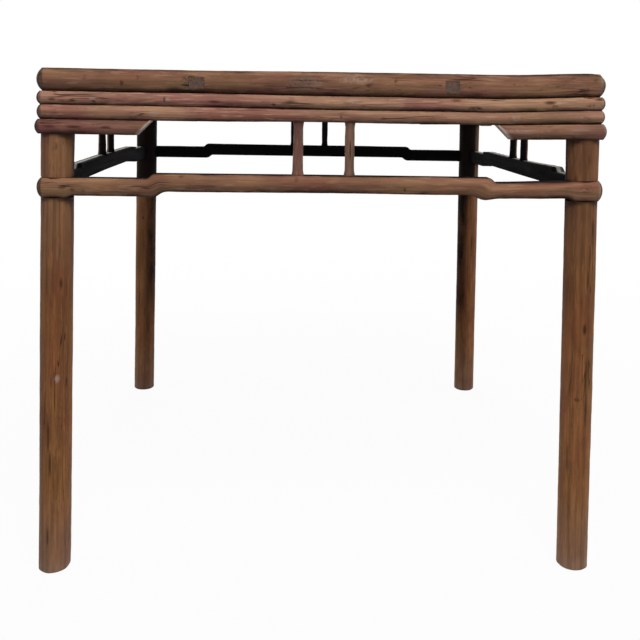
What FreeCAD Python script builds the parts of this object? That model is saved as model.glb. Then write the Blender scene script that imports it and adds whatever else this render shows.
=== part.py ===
"""A square Chinese table for eight: round legs, and bars and mouldings that wrap round the legs.

Millimetres. The origin is on the floor under the table's centre, +Z is up and the front is at -Y.
Each side of the table is the front turned about Z, so every piece is drawn once, at the front or at
the front left corner, and turned to its place.
"""

import FreeCAD, Part
import os
from collections import namedtuple

import Sketcher

SIZES = [
    ("tableTall", 830, "floor to the top of the frame"),
    ("frameSide", 917, "outside width and depth of the top frame"),
    ("railThick", 37.5, "height of a frame rail"),
    ("railWide", 70, "width of a frame rail, seen from above"),
    ("railBulge", 9, "how far a rail's rounded edge swells"),
    ("railCorner", 20, "radius of the frame's outside corner, seen from above"),
    ("mouldTall", 21.5, "height of the moulding under the frame"),
    ("apronTall", 20.5, "height of the apron strip"),
    ("spandrelTall", 23.5, "height of a spandrel"),
    ("bandInset", 1, "moulding and apron, back from the frame's face"),
    ("bandBack", 25, "inner face of the bands, back from the frame's face"),
    ("bandBulge", 5.5, "how far the half-round bands swell"),
    ("bandCorner", 12, "radius of the bands' outside corner, seen from above"),
    ("spandrelProud", 2, "spandrel, out from the frame's face"),
    ("spandrelLong", 162, "underside of a spandrel, from the table's corner"),
    ("barLow", 630, "floor to the underside of a stretcher's low ends"),
    ("barTall", 28.5, "height of a stretcher"),
    ("barDeep", 30, "depth of a stretcher"),
    ("barProud", 1, "stretcher, out from the frame's face"),
    ("barBulge", 7.5, "how far a stretcher's round face swells"),
    ("barCorner", 15, "radius of the stretchers' outside corner, seen from above"),
    ("humpRise", 8, "how far a stretcher's middle part stands above its ends"),
    ("humpReach", 264, "table's centre to the middle of the bend up to the hump"),
    ("humpBend", 19, "radius of the two arcs of that bend"),
    ("legInset", 29.5, "leg's axis at the spandrels, back from the frame's face"),
    ("legLean", 0.015, "how far a leg's axis goes out for each millimetre down"),
    ("legFoot", 51.5, "diameter of a leg at the floor"),
    ("legWaist", 52, "diameter of a leg at the stretchers"),
    ("legHead", 53, "diameter of a leg under the frame"),
    ("footEdge", 2, "height and depth of the bevel round a foot"),
    ("coreSide", 34, "side of the square core inside the wrapped joints"),
    ("coreLap", 2, "how far a core runs into the round leg"),
    ("headTenonTall", 9, "height of the two tenons on a leg"),
    ("headTenonWide", 14, "longer side of such a tenon"),
    ("headTenonThick", 10, "shorter side of such a tenon"),
    ("headTenonSet", 4, "those tenons, off the leg's axis"),
    ("stubLong", 10, "length of the stub tenons on stretchers and aprons"),
    ("stubThick", 10, "thickness of those tenons"),
    ("stubSet", 3.5, "those tenons, in from the bar's inner face"),
    ("barStubTall", 16, "height of a stretcher's tenon"),
    ("apronStubTall", 12, "height of an apron's tenon"),
    ("mitreTenonLow", 10.5, "underside of the frame's mitre tenon, up from the rail's underside"),
    ("mitreTenonTall", 10, "thickness of that tenon"),
    ("mitreTenonSet", 14, "that tenon, in from the rail's inner face"),
    ("mitreTenonWide", 36, "width of that tenon"),
    ("mitreTenonShy", 16, "end of that tenon, in from the frame's face"),
    ("strutWide", 15.5, "diameter of a strut's shaft"),
    ("strutSwell", 1.2, "how much wider in radius a strut is at its ends"),
    ("strutSwellTall", 9, "height of that swelling"),
    ("strutApart", 83, "between the axes of a pair of struts"),
    ("strutSet", 15, "struts' axis, back from the frame's face"),
    ("strutPin", 8, "diameter and length of a strut's round tenon"),
    ("boardThick", 10.5, "thickness of the panel boards"),
    ("tongueThick", 4.5, "thickness of the panel's edge tongue"),
    ("tongueLong", 9, "length of that tongue"),
    ("panelGap", 0.6, "gap between the panel and the frame"),
    ("seamThick", 3, "thickness of the tongue between two boards"),
    ("seamLong", 5, "length of that tongue"),
    ("seamUp", 4.5, "that tongue's underside, up from the boards' underside"),
    ("battenWide", 38, "width of a batten under the panel"),
    ("battenTall", 31.5, "height of a batten below the boards"),
    ("battenApart", 204, "between the axes of two battens"),
    ("dovetailTall", 3, "height of a batten's dovetail rib"),
    ("dovetailNeck", 20, "width of the rib at the boards' underside"),
    ("dovetailHead", 24, "width of the rib at its top"),
    ("battenTenonWide", 24, "width of a batten's tenon"),
    ("battenTenonUp", 8, "underside of that tenon, up from the rail's underside"),
    ("battenTenonDrop", 0.5, "top of that tenon, below the boards"),
    ("throughTenonShy", 1.5, "end of an outer batten's through tenon, back from the frame's face"),
    ("blindTenonShy", 32, "end of the middle batten's blind tenon, back from the frame's face"),
    ("fitGap", 0.15, "play on each side of a tenon or a core"),
    ("waste", 10, "how far a cutting outline runs past the wood"),
]

SIDES = ("front", "right", "back", "left")
CORNERS = ("front_left", "front_right", "back_right", "back_left")
BOARDS = 4
QUARTER_TURN = 90
EIGHTH_TURN = 45
FULL_TURN = 360

doc = FreeCAD.newDocument("EightImmortalsTable")
sheet = doc.addObject("Spreadsheet::Sheet", "Sizes")
for row, (alias, number, meaning) in enumerate(SIZES, start=1):
    sheet.set(f"A{row}", alias)
    sheet.set(f"B{row}", str(number))
    sheet.set(f"C{row}", meaning)
    sheet.setAlias(f"B{row}", alias)
doc.recompute()


# Expressions on the sheet. Distances outwards are from the table's centre, heights from the floor.

FACE = "(Sizes.frameSide / 2)"
TOP = "(Sizes.tableTall)"
UNDER_FRAME = f"({TOP} - Sizes.railThick)"
UNDER_MOULDING = f"({UNDER_FRAME} - Sizes.mouldTall)"
UNDER_APRON = f"({UNDER_MOULDING} - Sizes.apronTall)"
UNDER_SPANDREL = f"({UNDER_APRON} - Sizes.spandrelTall)"
BAR_TOP = "(Sizes.barLow + Sizes.barTall)"
BAR_MIDDLE = "(Sizes.barLow + Sizes.barTall / 2)"
HUMP_TOP = f"({BAR_TOP} + Sizes.humpRise)"
RAIL_BACK = f"({FACE} - Sizes.railWide)"
BAND_BACK = f"({FACE} - Sizes.bandBack)"
STRUT_LINE = f"({FACE} - Sizes.strutSet)"
UNDER_PANEL = f"({TOP} - Sizes.boardThick)"
PANEL_EDGE = f"({RAIL_BACK} - Sizes.panelGap)"
BATTEN_TENON_TOP = f"({UNDER_PANEL} - Sizes.battenTenonDrop)"
BATTEN_TENON_LOW = f"({UNDER_FRAME} + Sizes.battenTenonUp)"
MITRE_TENON_LOW = f"({UNDER_FRAME} + Sizes.mitreTenonLow)"
THROUGH_TENON_END = f"({FACE} - Sizes.throughTenonShy)"
BLIND_TENON_END = f"({FACE} - Sizes.blindTenonShy)"
BATTENS = (
    ("-Sizes.battenApart", THROUGH_TENON_END),
    ("0", BLIND_TENON_END),
    ("Sizes.battenApart", THROUGH_TENON_END),
)

# A band runs along one side of the table: its round outer face, its flat inner face, its underside
# and top, how far the round face swells, and the radius of its outside corner seen from above.
Band = namedtuple("Band", "face back low top bulge corner")

RAIL = Band(FACE, RAIL_BACK, UNDER_FRAME, TOP, "Sizes.railBulge", "Sizes.railCorner")
BAND_FACE = f"({FACE} - Sizes.bandInset)"
MOULDING = Band(BAND_FACE, BAND_BACK, UNDER_MOULDING, UNDER_FRAME, "Sizes.bandBulge", "Sizes.bandCorner")
APRON = Band(BAND_FACE, BAND_BACK, UNDER_APRON, UNDER_MOULDING, "Sizes.bandBulge", "Sizes.bandCorner")
SPANDREL_FACE = f"({FACE} + Sizes.spandrelProud)"
SPANDREL = Band(SPANDREL_FACE, BAND_BACK, UNDER_SPANDREL, UNDER_APRON, "Sizes.bandBulge", "Sizes.bandCorner")
BAR_FACE = f"({FACE} + Sizes.barProud)"
BAR_BACK = f"({BAR_FACE} - Sizes.barDeep)"
BAR = Band(BAR_FACE, BAR_BACK, "Sizes.barLow", BAR_TOP, "Sizes.barBulge", "Sizes.barCorner")


def leg_axis(height):
    """How far out a leg's leaning axis is at a height."""
    return f"({FACE} - Sizes.legInset + Sizes.legLean * ({UNDER_SPANDREL} - {height}))"


HEAD_AXIS = leg_axis(UNDER_SPANDREL)
WAIST_AXIS = leg_axis(BAR_MIDDLE)


# Sketches and features

def value(expression):
    result = sheet.evalExpression(expression)
    return float(getattr(result, "Value", result))


def spot(x, y):
    return FreeCAD.Vector(value(x), value(y), 0)


def own_plane(body, role):
    return next(part for part in body.Origin.OriginFeatures if part.Role == role)


def blank_sketch(body, name, plane, offset):
    """An empty sketch on one of the body's own planes, moved along the plane's normal."""
    sketch = body.newObject("Sketcher::SketchObject", name)
    sketch.AttachmentSupport = [(own_plane(body, plane), "")]
    sketch.MapMode = "FlatFace"
    sketch.setExpression("AttachmentOffset.Base.z", offset)
    return sketch


def pin(sketch, edge, end, x, y):
    """Holds a point of a sketch at two expressions."""
    for kind, expression in (("DistanceX", x), ("DistanceY", y)):
        number = sketch.addConstraint(Sketcher.Constraint(kind, -1, 1, edge, end, value(expression)))
        sketch.setExpression(f"Constraints[{number}]", expression)


def add_arc(sketch, start, via, end):
    """An arc through a pinned point. Gives its number, and the sketch's numbers for its two ends."""
    arc = sketch.addGeometry(Part.Arc(start, spot(*via), end), False)
    through = sketch.addGeometry(Part.Point(spot(*via)), True)
    pin(sketch, through, 1, *via)
    sketch.addConstraint(Sketcher.Constraint("PointOnObject", through, 1, arc))
    starts_first = sketch.getPoint(arc, 1).distanceToPoint(start) < 1e-6
    return (arc, 1, 2) if starts_first else (arc, 2, 1)


def add_line(sketch, corners, closed=True):
    """A loop or an open line. A corner is x, y, or x, y and the point an arc to the next one passes."""
    following = corners[1:] + corners[:1] if closed else corners[1:]
    edges = []
    for (x, y, *via), (next_x, next_y, *_) in zip(corners, following):
        start, end = spot(x, y), spot(next_x, next_y)
        if via:
            edges.append(add_arc(sketch, start, via, end))
        else:
            edges.append((sketch.addGeometry(Part.LineSegment(start, end), False), 1, 2))
        pin(sketch, *edges[-1][:2], x, y)
    for (edge, _, far), (next_edge, near, _) in zip(edges, edges[1:] + edges[:1] if closed else edges[1:]):
        sketch.addConstraint(Sketcher.Constraint("Coincident", edge, far, next_edge, near))
    if not closed:
        last_edge, _, last_end = edges[-1]
        pin(sketch, last_edge, last_end, *corners[-1][:2])


def add_axis(sketch, x, low, top):
    """The upright construction line that a profile turns about."""
    line = sketch.addGeometry(Part.LineSegment(spot(x, low), spot(x, top)), True)
    pin(sketch, line, 1, x, low)
    pin(sketch, line, 2, x, top)


def outline(body, name, plane, loops, offset="0"):
    sketch = blank_sketch(body, name, plane, offset)
    for corners in loops:
        add_line(sketch, corners)
    return sketch


def circles(body, name, places, diameter, offset):
    """Circles seen from above, at a height."""
    sketch = blank_sketch(body, name, "XY_Plane", offset)
    for x, y in places:
        shape = Part.Circle(spot(x, y), FreeCAD.Vector(0, 0, 1), value(diameter) / 2)
        circle = sketch.addGeometry(shape, False)
        pin(sketch, circle, 3, x, y)
        number = sketch.addConstraint(Sketcher.Constraint("Diameter", circle, value(diameter)))
        sketch.setExpression(f"Constraints[{number}]", diameter)
    return sketch


def both_ways(body, kind, name, sketch, length):
    """A Pad or Pocket that goes half its length to each side of its sketch."""
    feature = body.newObject(f"PartDesign::{kind}", name)
    feature.Profile = sketch
    feature.SideType = "Symmetric"
    feature.setExpression("Length", length)


def block(body, kind, name, loops, low, top):
    """A Pad or Pocket of loops seen from above, between two heights."""
    sketch = outline(body, f"{name}Plan", "XY_Plane", loops, f"({low} + {top}) / 2")
    both_ways(body, kind, name, sketch, f"{top} - {low}")


def turned(body, name, sketch, degrees, backwards=False):
    """Turns a profile about its sketch's axis line."""
    feature = body.newObject("PartDesign::Revolution", name)
    feature.Profile = sketch
    feature.ReferenceAxis = (sketch, ["Axis0"])
    feature.Angle = degrees
    feature.Reversed = backwards
    return feature


def new_body(label, quarter_turns=0):
    body = doc.addObject("PartDesign::Body", label)
    body.Label = label
    body.Placement = FreeCAD.Placement(
        FreeCAD.Vector(), FreeCAD.Rotation(FreeCAD.Vector(0, 0, 1), QUARTER_TURN * quarter_turns)
    )
    return body


# Outlines that several pieces share

def rectangle(left, right, low, high):
    return [(left, low), (right, low), (right, high), (left, high)]


def flipped(corners):
    """The same loop at the right end of the front."""
    return [
        tuple(f"-({number})" if place % 2 == 0 else number for place, number in enumerate(corner))
        for corner in corners
    ]


def swapped(corners):
    """The same loop seen from the side next to the front: x and y change places."""
    return [(corner[1], corner[0]) for corner in corners]


def both_ends(corners):
    return [corners, flipped(corners)]


def profile(band, back):
    """The band's section at the front, as y and z, from its inner face round to its swelling face."""
    edge = f"-({band.face} - {band.bulge})"
    middle = f"({band.low} + {band.top}) / 2"
    swelling = (edge, band.low, f"-{band.face}", middle)
    return [(f"-{back}", band.low), swelling, (edge, band.top), (f"-{back}", band.top)]


def corner_centre(band):
    return f"({band.face} - {band.corner})"


def mitre_waste(band):
    """The wood past the mitre at the left end, seen from above."""
    far = f"-({corner_centre(band)} + Sizes.waste)"
    near = f"-({band.back} - Sizes.waste)"
    return [(far, far), (near, near), (far, near)]


def core_square(axis, play):
    inner = f"-({axis} - Sizes.coreSide / 2 - {play})"
    outer = f"-({axis} + Sizes.coreSide / 2 + {play})"
    return rectangle(outer, inner, outer, inner)


def stub(band, axis, play):
    """A stub tenon, seen from above: from inside the bar's end to inside the leg's core."""
    core_face = f"({axis} - Sizes.coreSide / 2)"
    near = f"-({band.back} + Sizes.stubSet - {play})"
    far = f"-({band.back} + Sizes.stubSet + Sizes.stubThick + {play})"
    tip = f"-({core_face} + Sizes.stubLong + {play})"
    return rectangle(tip, f"-({core_face} - Sizes.stubLong)", far, near)


def head_tenon(play):
    """A leg's tenon into the front rail, seen from above, on the rail's side of the mitre."""
    right = f"-({HEAD_AXIS} - Sizes.headTenonWide - {play})"
    far = f"-({HEAD_AXIS} + Sizes.headTenonSet + Sizes.headTenonThick + {play})"
    near = f"-({HEAD_AXIS} + Sizes.headTenonSet - {play})"
    return rectangle(f"-({HEAD_AXIS} + {play})", right, far, near)


def mitre_tenon(play):
    """The tenon on the left end of the front rail, seen from above."""
    end = f"-({FACE} - Sizes.mitreTenonShy + {play})"
    near = f"-({RAIL_BACK} + Sizes.mitreTenonSet - {play})"
    far = f"-({RAIL_BACK} + Sizes.mitreTenonSet + Sizes.mitreTenonWide + {play})"
    return rectangle(end, near, far, near)


# Pieces

def lip_profile(body, band, offset):
    """The outer part of a band's section, from the centre of its corner, with the corner's axis."""
    centre = corner_centre(band)
    sketch = outline(body, "LipProfile", "YZ_Plane", [profile(band, centre)], offset)
    add_axis(sketch, f"-{centre}", band.low, band.top)
    return sketch


def cut_mitres(body, band, wastes):
    reach = f"({band.top} - {band.low} + Sizes.waste)"
    block(body, "Pocket", "Mitres", wastes, f"({band.low} - {reach})", f"({band.low} + {reach})")


def wrap_ends(body, band):
    """Mitres both ends of a band and carries its outer part round the table's corners."""
    cut_mitres(body, band, both_ends(mitre_waste(band)))
    section = lip_profile(body, band, f"-{corner_centre(band)}")
    left_lip = turned(body, "LeftLip", section, EIGHTH_TURN, backwards=True)
    mirrored = body.newObject("PartDesign::Mirrored", "RightLip")
    mirrored.Originals = [left_lip]
    mirrored.MirrorPlane = (own_plane(body, "YZ_Plane"), [""])
    body.Tip = mirrored


def straight_band(body, band):
    section = outline(body, "Section", "YZ_Plane", [profile(band, band.back)])
    both_ways(body, "Pad", "Length", section, f"2 * {corner_centre(band)}")
    wrap_ends(body, band)


def make_long_rail(label, quarter_turns):
    """Front or back rail: tenons past its mitres, and mortises for the battens' tenons."""
    body = new_body(label, quarter_turns)
    straight_band(body, RAIL)
    mitre_top = f"({MITRE_TENON_LOW} + Sizes.mitreTenonTall)"
    block(body, "Pad", "MitreTenons", both_ends(mitre_tenon("0")), MITRE_TENON_LOW, mitre_top)
    cut_rail(body)
    mouth = f"({RAIL_BACK} - Sizes.waste)"
    for number, (line, tenon_end) in enumerate(BATTENS, start=1):
        through = tenon_end == THROUGH_TENON_END
        bottom = f"({FACE} + Sizes.waste)" if through else f"({tenon_end} + Sizes.fitGap)"
        mortise = batten_tenon(line, "Sizes.fitGap")
        name = f"BattenMortise{number}"
        sketch = outline(body, f"{name}Plan", "XZ_Plane", [mortise], f"({bottom} + {mouth}) / 2")
        both_ways(body, "Pocket", name, sketch, f"{bottom} - {mouth}")
    return body


def make_short_rail(label, quarter_turns):
    """Left or right rail: mortises in its mitres for the long rails' tenons."""
    body = new_body(label, quarter_turns)
    straight_band(body, RAIL)
    low = f"({MITRE_TENON_LOW} - Sizes.fitGap)"
    top = f"({MITRE_TENON_LOW} + Sizes.mitreTenonTall + Sizes.fitGap)"
    block(body, "Pocket", "MitreMortises", both_ends(swapped(mitre_tenon("Sizes.fitGap"))), low, top)
    cut_rail(body)
    return body


def cut_rail(body):
    """The groove for the panel's tongue, and the mortises over the legs."""
    groove = rectangle(f"-({RAIL_BACK} + Sizes.tongueLong)", f"-({RAIL_BACK} - Sizes.waste)",
                       UNDER_PANEL, f"{UNDER_PANEL} + Sizes.tongueThick + Sizes.fitGap")
    sketch = outline(body, "GrooveSection", "YZ_Plane", [groove])
    both_ways(body, "Pocket", "Groove", sketch, "Sizes.frameSide")
    top = f"({UNDER_FRAME} + Sizes.headTenonTall + Sizes.fitGap)"
    mortises = both_ends(head_tenon("Sizes.fitGap"))
    block(body, "Pocket", "LegMortises", mortises, f"({UNDER_FRAME} - Sizes.waste)", top)


def cut_core_notches(body, band, axis):
    """The square hollow at each end that fits round a leg's core."""
    waste = "Sizes.waste"
    notches = both_ends(core_square(axis, "Sizes.fitGap"))
    block(body, "Pocket", "CoreNotches", notches, f"({band.low} - {waste})", f"({band.top} + {waste})")


def add_stubs(body, band, axis, tall):
    middle = f"({band.low} + {band.top}) / 2"
    low, top = f"({middle} - {tall} / 2)", f"({middle} + {tall} / 2)"
    block(body, "Pad", "Stubs", both_ends(stub(band, axis, "0")), low, top)


def cut_strut_sockets(body, height):
    """Round sockets for the pair of struts, in the face at a height."""
    places = [(f"{sign}Sizes.strutApart / 2", f"-{STRUT_LINE}") for sign in ("-", "")]
    sketch = circles(body, "SocketPlan", places, "Sizes.strutPin + 2 * Sizes.fitGap", height)
    both_ways(body, "Pocket", "StrutSockets", sketch, "2 * (Sizes.strutPin + Sizes.fitGap)")


def make_moulding(label, quarter_turns):
    body = new_body(label, quarter_turns)
    straight_band(body, MOULDING)
    cut_core_notches(body, MOULDING, HEAD_AXIS)
    return body


def make_apron(label, quarter_turns):
    body = new_body(label, quarter_turns)
    straight_band(body, APRON)
    cut_core_notches(body, APRON, HEAD_AXIS)
    add_stubs(body, APRON, HEAD_AXIS, "Sizes.apronStubTall")
    cut_strut_sockets(body, UNDER_APRON)
    return body


def hump_path(body):
    """The stretcher's centre line, seen from the front: two arcs make each bend up to the hump."""
    low, high = BAR_MIDDLE, f"({BAR_MIDDLE} + Sizes.humpRise)"
    middle = f"({BAR_MIDDLE} + Sizes.humpRise / 2)"
    cosine = "(1 - Sizes.humpRise / 2 / Sizes.humpBend)"
    half_run = f"(Sizes.humpBend * sqrt(1 - {cosine} * {cosine}))"
    lead = f"(Sizes.humpBend * sqrt((1 - {cosine}) / 2))"
    sag = f"(Sizes.humpBend * (1 - sqrt((1 + {cosine}) / 2)))"
    foot_of_bend = f"(Sizes.humpReach + {half_run})"
    head_of_bend = f"(Sizes.humpReach - {half_run})"
    end = corner_centre(BAR)
    line = [
        (f"-{end}", low),
        (f"-{foot_of_bend}", low, f"-{foot_of_bend} + {lead}", f"{low} + {sag}"),
        ("-Sizes.humpReach", middle, f"-{head_of_bend} - {lead}", f"{high} - {sag}"),
        (f"-{head_of_bend}", high),
        (head_of_bend, high, f"{head_of_bend} + {lead}", f"{high} - {sag}"),
        ("Sizes.humpReach", middle, f"{foot_of_bend} - {lead}", f"{low} + {sag}"),
        (foot_of_bend, low),
        (end, low),
    ]
    sketch = blank_sketch(body, "HumpPath", "XZ_Plane", f"{BAR_FACE} - Sizes.barDeep / 2")
    add_line(sketch, line, closed=False)
    return sketch


def make_stretcher(label, quarter_turns):
    body = new_body(label, quarter_turns)
    path = hump_path(body)
    section = outline(body, "Section", "YZ_Plane", [profile(BAR, BAR.back)], f"-{corner_centre(BAR)}")
    swept = body.newObject("PartDesign::AdditivePipe", "HumpedBar")
    swept.Profile = section
    swept.Spine = path
    wrap_ends(body, BAR)
    cut_core_notches(body, BAR, WAIST_AXIS)
    add_stubs(body, BAR, WAIST_AXIS, "Sizes.barStubTall")
    cut_strut_sockets(body, HUMP_TOP)
    return body


def make_spandrel(label, quarter_turns, flip):
    """A short band that wraps one leg: at the front left corner, or flipped to the front right."""
    body = new_body(label, quarter_turns)
    tall = "Sizes.spandrelTall"
    root, end = corner_centre(SPANDREL), f"({SPANDREL.face} - Sizes.spandrelLong)"
    place = flipped if flip else list
    middle = f"(({root} + {end} - {tall}) / 2)"
    middle_x = middle if flip else f"-{middle}"
    section = outline(body, "Section", "YZ_Plane", [profile(SPANDREL, SPANDREL.back)], middle_x)
    both_ways(body, "Pad", "Length", section, f"{root} - {end} + {tall}")
    beyond = f"-{end} + {tall} + Sizes.waste"
    slope = [
        (f"-{end} - Sizes.waste", f"{UNDER_SPANDREL} - Sizes.waste"),
        (beyond, f"{UNDER_SPANDREL} - Sizes.waste"),
        (beyond, f"{UNDER_APRON} + Sizes.waste"),
    ]
    end_cut = outline(body, "SlopingEnd", "XZ_Plane", [place(slope)], SPANDREL.face)
    both_ways(body, "Pocket", "EndCut", end_cut, f"2 * ({SPANDREL.face} - {SPANDREL.back} + Sizes.waste)")
    cut_mitres(body, SPANDREL, [place(mitre_waste(SPANDREL))])
    lip_section = lip_profile(body, SPANDREL, root if flip else f"-{root}")
    turned(body, "Lip", lip_section, EIGHTH_TURN, backwards=not flip)
    notch = place(core_square(HEAD_AXIS, "Sizes.fitGap"))
    low, top = f"({UNDER_SPANDREL} - Sizes.waste)", f"({UNDER_APRON} + Sizes.waste)"
    block(body, "Pocket", "CoreNotch", [notch], low, top)
    return body


def make_leg(label, quarter_turns):
    """A leaning, tapering round leg, cut to a square core where the stretchers and bands wrap it."""
    body = new_body(label, quarter_turns)
    rounds = [
        ("SoleCircle", "0", "Sizes.legFoot - 2 * Sizes.footEdge"),
        ("FootCircle", "Sizes.footEdge", "Sizes.legFoot"),
        ("WaistCircle", BAR_MIDDLE, "Sizes.legWaist"),
        ("HeadCircle", UNDER_FRAME, "Sizes.legHead"),
    ]
    sketches = []
    for name, height, diameter in rounds:
        axis = f"-{leg_axis(height)}"
        sketches.append(circles(body, name, [(axis, axis)], diameter, height))
    loft = body.newObject("PartDesign::AdditiveLoft", "RoundLeg")
    loft.Profile = sketches[0]
    loft.Sections = sketches[1:]
    loft.Ruled = True

    low, top = "(Sizes.barLow - Sizes.fitGap)", f"({BAR_TOP} + Sizes.fitGap)"
    cut_collars(body, "Waist", BAR_BACK, WAIST_AXIS, low, top)
    low, top = "(Sizes.barLow - Sizes.coreLap)", f"({BAR_TOP} + Sizes.coreLap)"
    block(body, "Pad", "WaistCore", [core_square(WAIST_AXIS, "0")], low, top)

    low, top = f"({UNDER_SPANDREL} - Sizes.fitGap)", f"({UNDER_FRAME} + Sizes.waste)"
    cut_collars(body, "Head", BAND_BACK, HEAD_AXIS, low, top)
    low = f"({UNDER_SPANDREL} - Sizes.coreLap)"
    block(body, "Pad", "HeadCore", [core_square(HEAD_AXIS, "0")], low, UNDER_FRAME)
    tenons = [head_tenon("0"), swapped(head_tenon("0"))]
    low, top = f"({UNDER_FRAME} - Sizes.coreLap)", f"({UNDER_FRAME} + Sizes.headTenonTall)"
    block(body, "Pad", "HeadTenons", tenons, low, top)

    cut_mortises(body, "Bar", BAR, WAIST_AXIS, "Sizes.barStubTall")
    cut_mortises(body, "Apron", APRON, HEAD_AXIS, "Sizes.apronStubTall")
    return body


def cut_collars(body, name, back, axis, low, top):
    """Cuts the leg back between two heights, but for its inner quarter, to let the bands cross it."""
    far = f"-({FACE} + Sizes.legInset)"
    section = rectangle(far, f"-({back} - Sizes.fitGap)", low, top)
    for side, plane, offset in (("Front", "YZ_Plane", f"-{axis}"), ("Left", "XZ_Plane", axis)):
        sketch = outline(body, f"{name}{side}Collar", plane, [section], offset)
        both_ways(body, "Pocket", f"{name}{side}Cut", sketch, "2 * Sizes.legHead")


def cut_mortises(body, name, band, axis, tall):
    """The leg's two mortises for the stub tenons of a band."""
    middle = f"({band.low} + {band.top}) / 2"
    low = f"({middle} - {tall} / 2 - Sizes.fitGap)"
    top = f"({middle} + {tall} / 2 + Sizes.fitGap)"
    for side, place in (("Front", list), ("Left", swapped)):
        block(body, "Pocket", f"{name}{side}Mortise", [place(stub(band, axis, "Sizes.fitGap"))], low, top)


def make_strut(label, quarter_turns, sign):
    """A turned post with a round tenon at each end, between the stretcher's hump and the apron."""
    body = new_body(label, quarter_turns)
    axis = f"({sign}Sizes.strutApart / 2)"
    shaft = f"({axis} + Sizes.strutWide / 2)"
    flare = f"({shaft} + Sizes.strutSwell)"
    hollow = f"({shaft} + Sizes.strutSwell / 4)"
    pin_side = f"({axis} + Sizes.strutPin / 2)"
    low, top = HUMP_TOP, UNDER_APRON
    pin_low, pin_top = f"({low} - Sizes.strutPin)", f"({top} + Sizes.strutPin)"
    half = [
        (axis, pin_low),
        (pin_side, pin_low),
        (pin_side, low),
        (flare, low, hollow, f"{low} + Sizes.strutSwellTall / 2"),
        (shaft, f"{low} + Sizes.strutSwellTall"),
        (shaft, f"{top} - Sizes.strutSwellTall", hollow, f"{top} - Sizes.strutSwellTall / 2"),
        (flare, top),
        (pin_side, top),
        (pin_side, pin_top),
        (axis, pin_top),
    ]
    sketch = outline(body, "HalfProfile", "XZ_Plane", [half], STRUT_LINE)
    add_axis(sketch, axis, pin_low, pin_top)
    turned(body, "Post", sketch, FULL_TURN)
    return body


def board_edges(front, rear, number):
    """A board's section: a tongue for the frame's groove, or the seam's tongue or groove, at each edge."""
    gap = "Sizes.fitGap"
    tongue = f"(Sizes.tongueLong - {gap})"
    tongue_top = f"({UNDER_PANEL} + Sizes.tongueThick)"
    seam_low = f"({UNDER_PANEL} + Sizes.seamUp)"
    seam_top = f"({seam_low} + Sizes.seamThick)"
    if number == 0:
        tip = f"{front} - {tongue}"
        front_edge = [(front, TOP), (front, tongue_top), (tip, tongue_top), (tip, UNDER_PANEL)]
    else:
        depth = f"{front} + Sizes.seamLong + {gap}"
        above, below = f"{seam_top} + {gap}", f"{seam_low} - {gap}"
        front_edge = [(front, TOP), (front, above), (depth, above), (depth, below), (front, below),
                      (front, UNDER_PANEL)]
    if number == BOARDS - 1:
        tip = f"{rear} + {tongue}"
        rear_edge = [(tip, UNDER_PANEL), (tip, tongue_top), (rear, tongue_top), (rear, TOP)]
    else:
        tip = f"{rear} + Sizes.seamLong"
        rear_edge = [(rear, UNDER_PANEL), (rear, seam_low), (tip, seam_low), (tip, seam_top),
                     (rear, seam_top), (rear, TOP)]
    return front_edge + rear_edge


def make_board(label, number):
    """One board of the panel; number counts the boards from the front."""
    body = new_body(label)
    wide = f"(2 * {PANEL_EDGE} / {BOARDS})"
    front, rear = f"(-{PANEL_EDGE} + {number} * {wide})", f"(-{PANEL_EDGE} + {number + 1} * {wide})"
    tip = f"({PANEL_EDGE} + Sizes.tongueLong - Sizes.fitGap)"
    section = outline(body, "Section", "YZ_Plane", [board_edges(front, rear, number)])
    both_ways(body, "Pad", "Length", section, f"2 * {tip}")
    rebate = rectangle(f"-({tip} + Sizes.waste)", f"-{PANEL_EDGE}",
                       f"{UNDER_PANEL} + Sizes.tongueThick", f"{TOP} + Sizes.waste")
    sketch = outline(body, "EndRebates", "XZ_Plane", both_ends(rebate))
    both_ways(body, "Pocket", "EndTongues", sketch, "2 * Sizes.frameSide")
    grooves = [dovetail(line, "Sizes.fitGap") for line, _ in BATTENS]
    sketch = outline(body, "DovetailGrooves", "XZ_Plane", grooves)
    both_ways(body, "Pocket", "BattenGrooves", sketch, "2 * Sizes.frameSide")
    return body


def dovetail(line, play):
    """A batten's rib, or with play the groove for it, seen from the front."""
    neck, head = f"(Sizes.dovetailNeck / 2 + {play})", f"(Sizes.dovetailHead / 2 + {play})"
    top = f"{UNDER_PANEL} + Sizes.dovetailTall + {play}"
    return [(f"{line} - {neck}", UNDER_PANEL), (f"{line} + {neck}", UNDER_PANEL),
            (f"{line} + {head}", top), (f"{line} - {head}", top)]


def batten_tenon(line, play):
    half_wide = f"(Sizes.battenTenonWide / 2 + {play})"
    return rectangle(f"{line} - {half_wide}", f"{line} + {half_wide}",
                     f"{BATTEN_TENON_LOW} - {play}", f"{BATTEN_TENON_TOP} + {play}")


def make_batten(label, line, tenon_end):
    """A batten across the boards, with a dovetail rib on top and a tenon at each end."""
    body = new_body(label)
    half_wide = "(Sizes.battenWide / 2)"
    beam = rectangle(f"{line} - {half_wide}", f"{line} + {half_wide}",
                     f"{UNDER_PANEL} - Sizes.battenTall", UNDER_PANEL)
    parts = [
        ("Beam", beam, RAIL_BACK),
        ("Rib", dovetail(line, "0"), PANEL_EDGE),
        ("Tenons", batten_tenon(line, "0"), tenon_end),
    ]
    for name, section, reach in parts:
        sketch = outline(body, f"{name}Section", "XZ_Plane", [section])
        both_ways(body, "Pad", name, sketch, f"2 * {reach}")
    return body


# Every piece in its place

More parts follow.
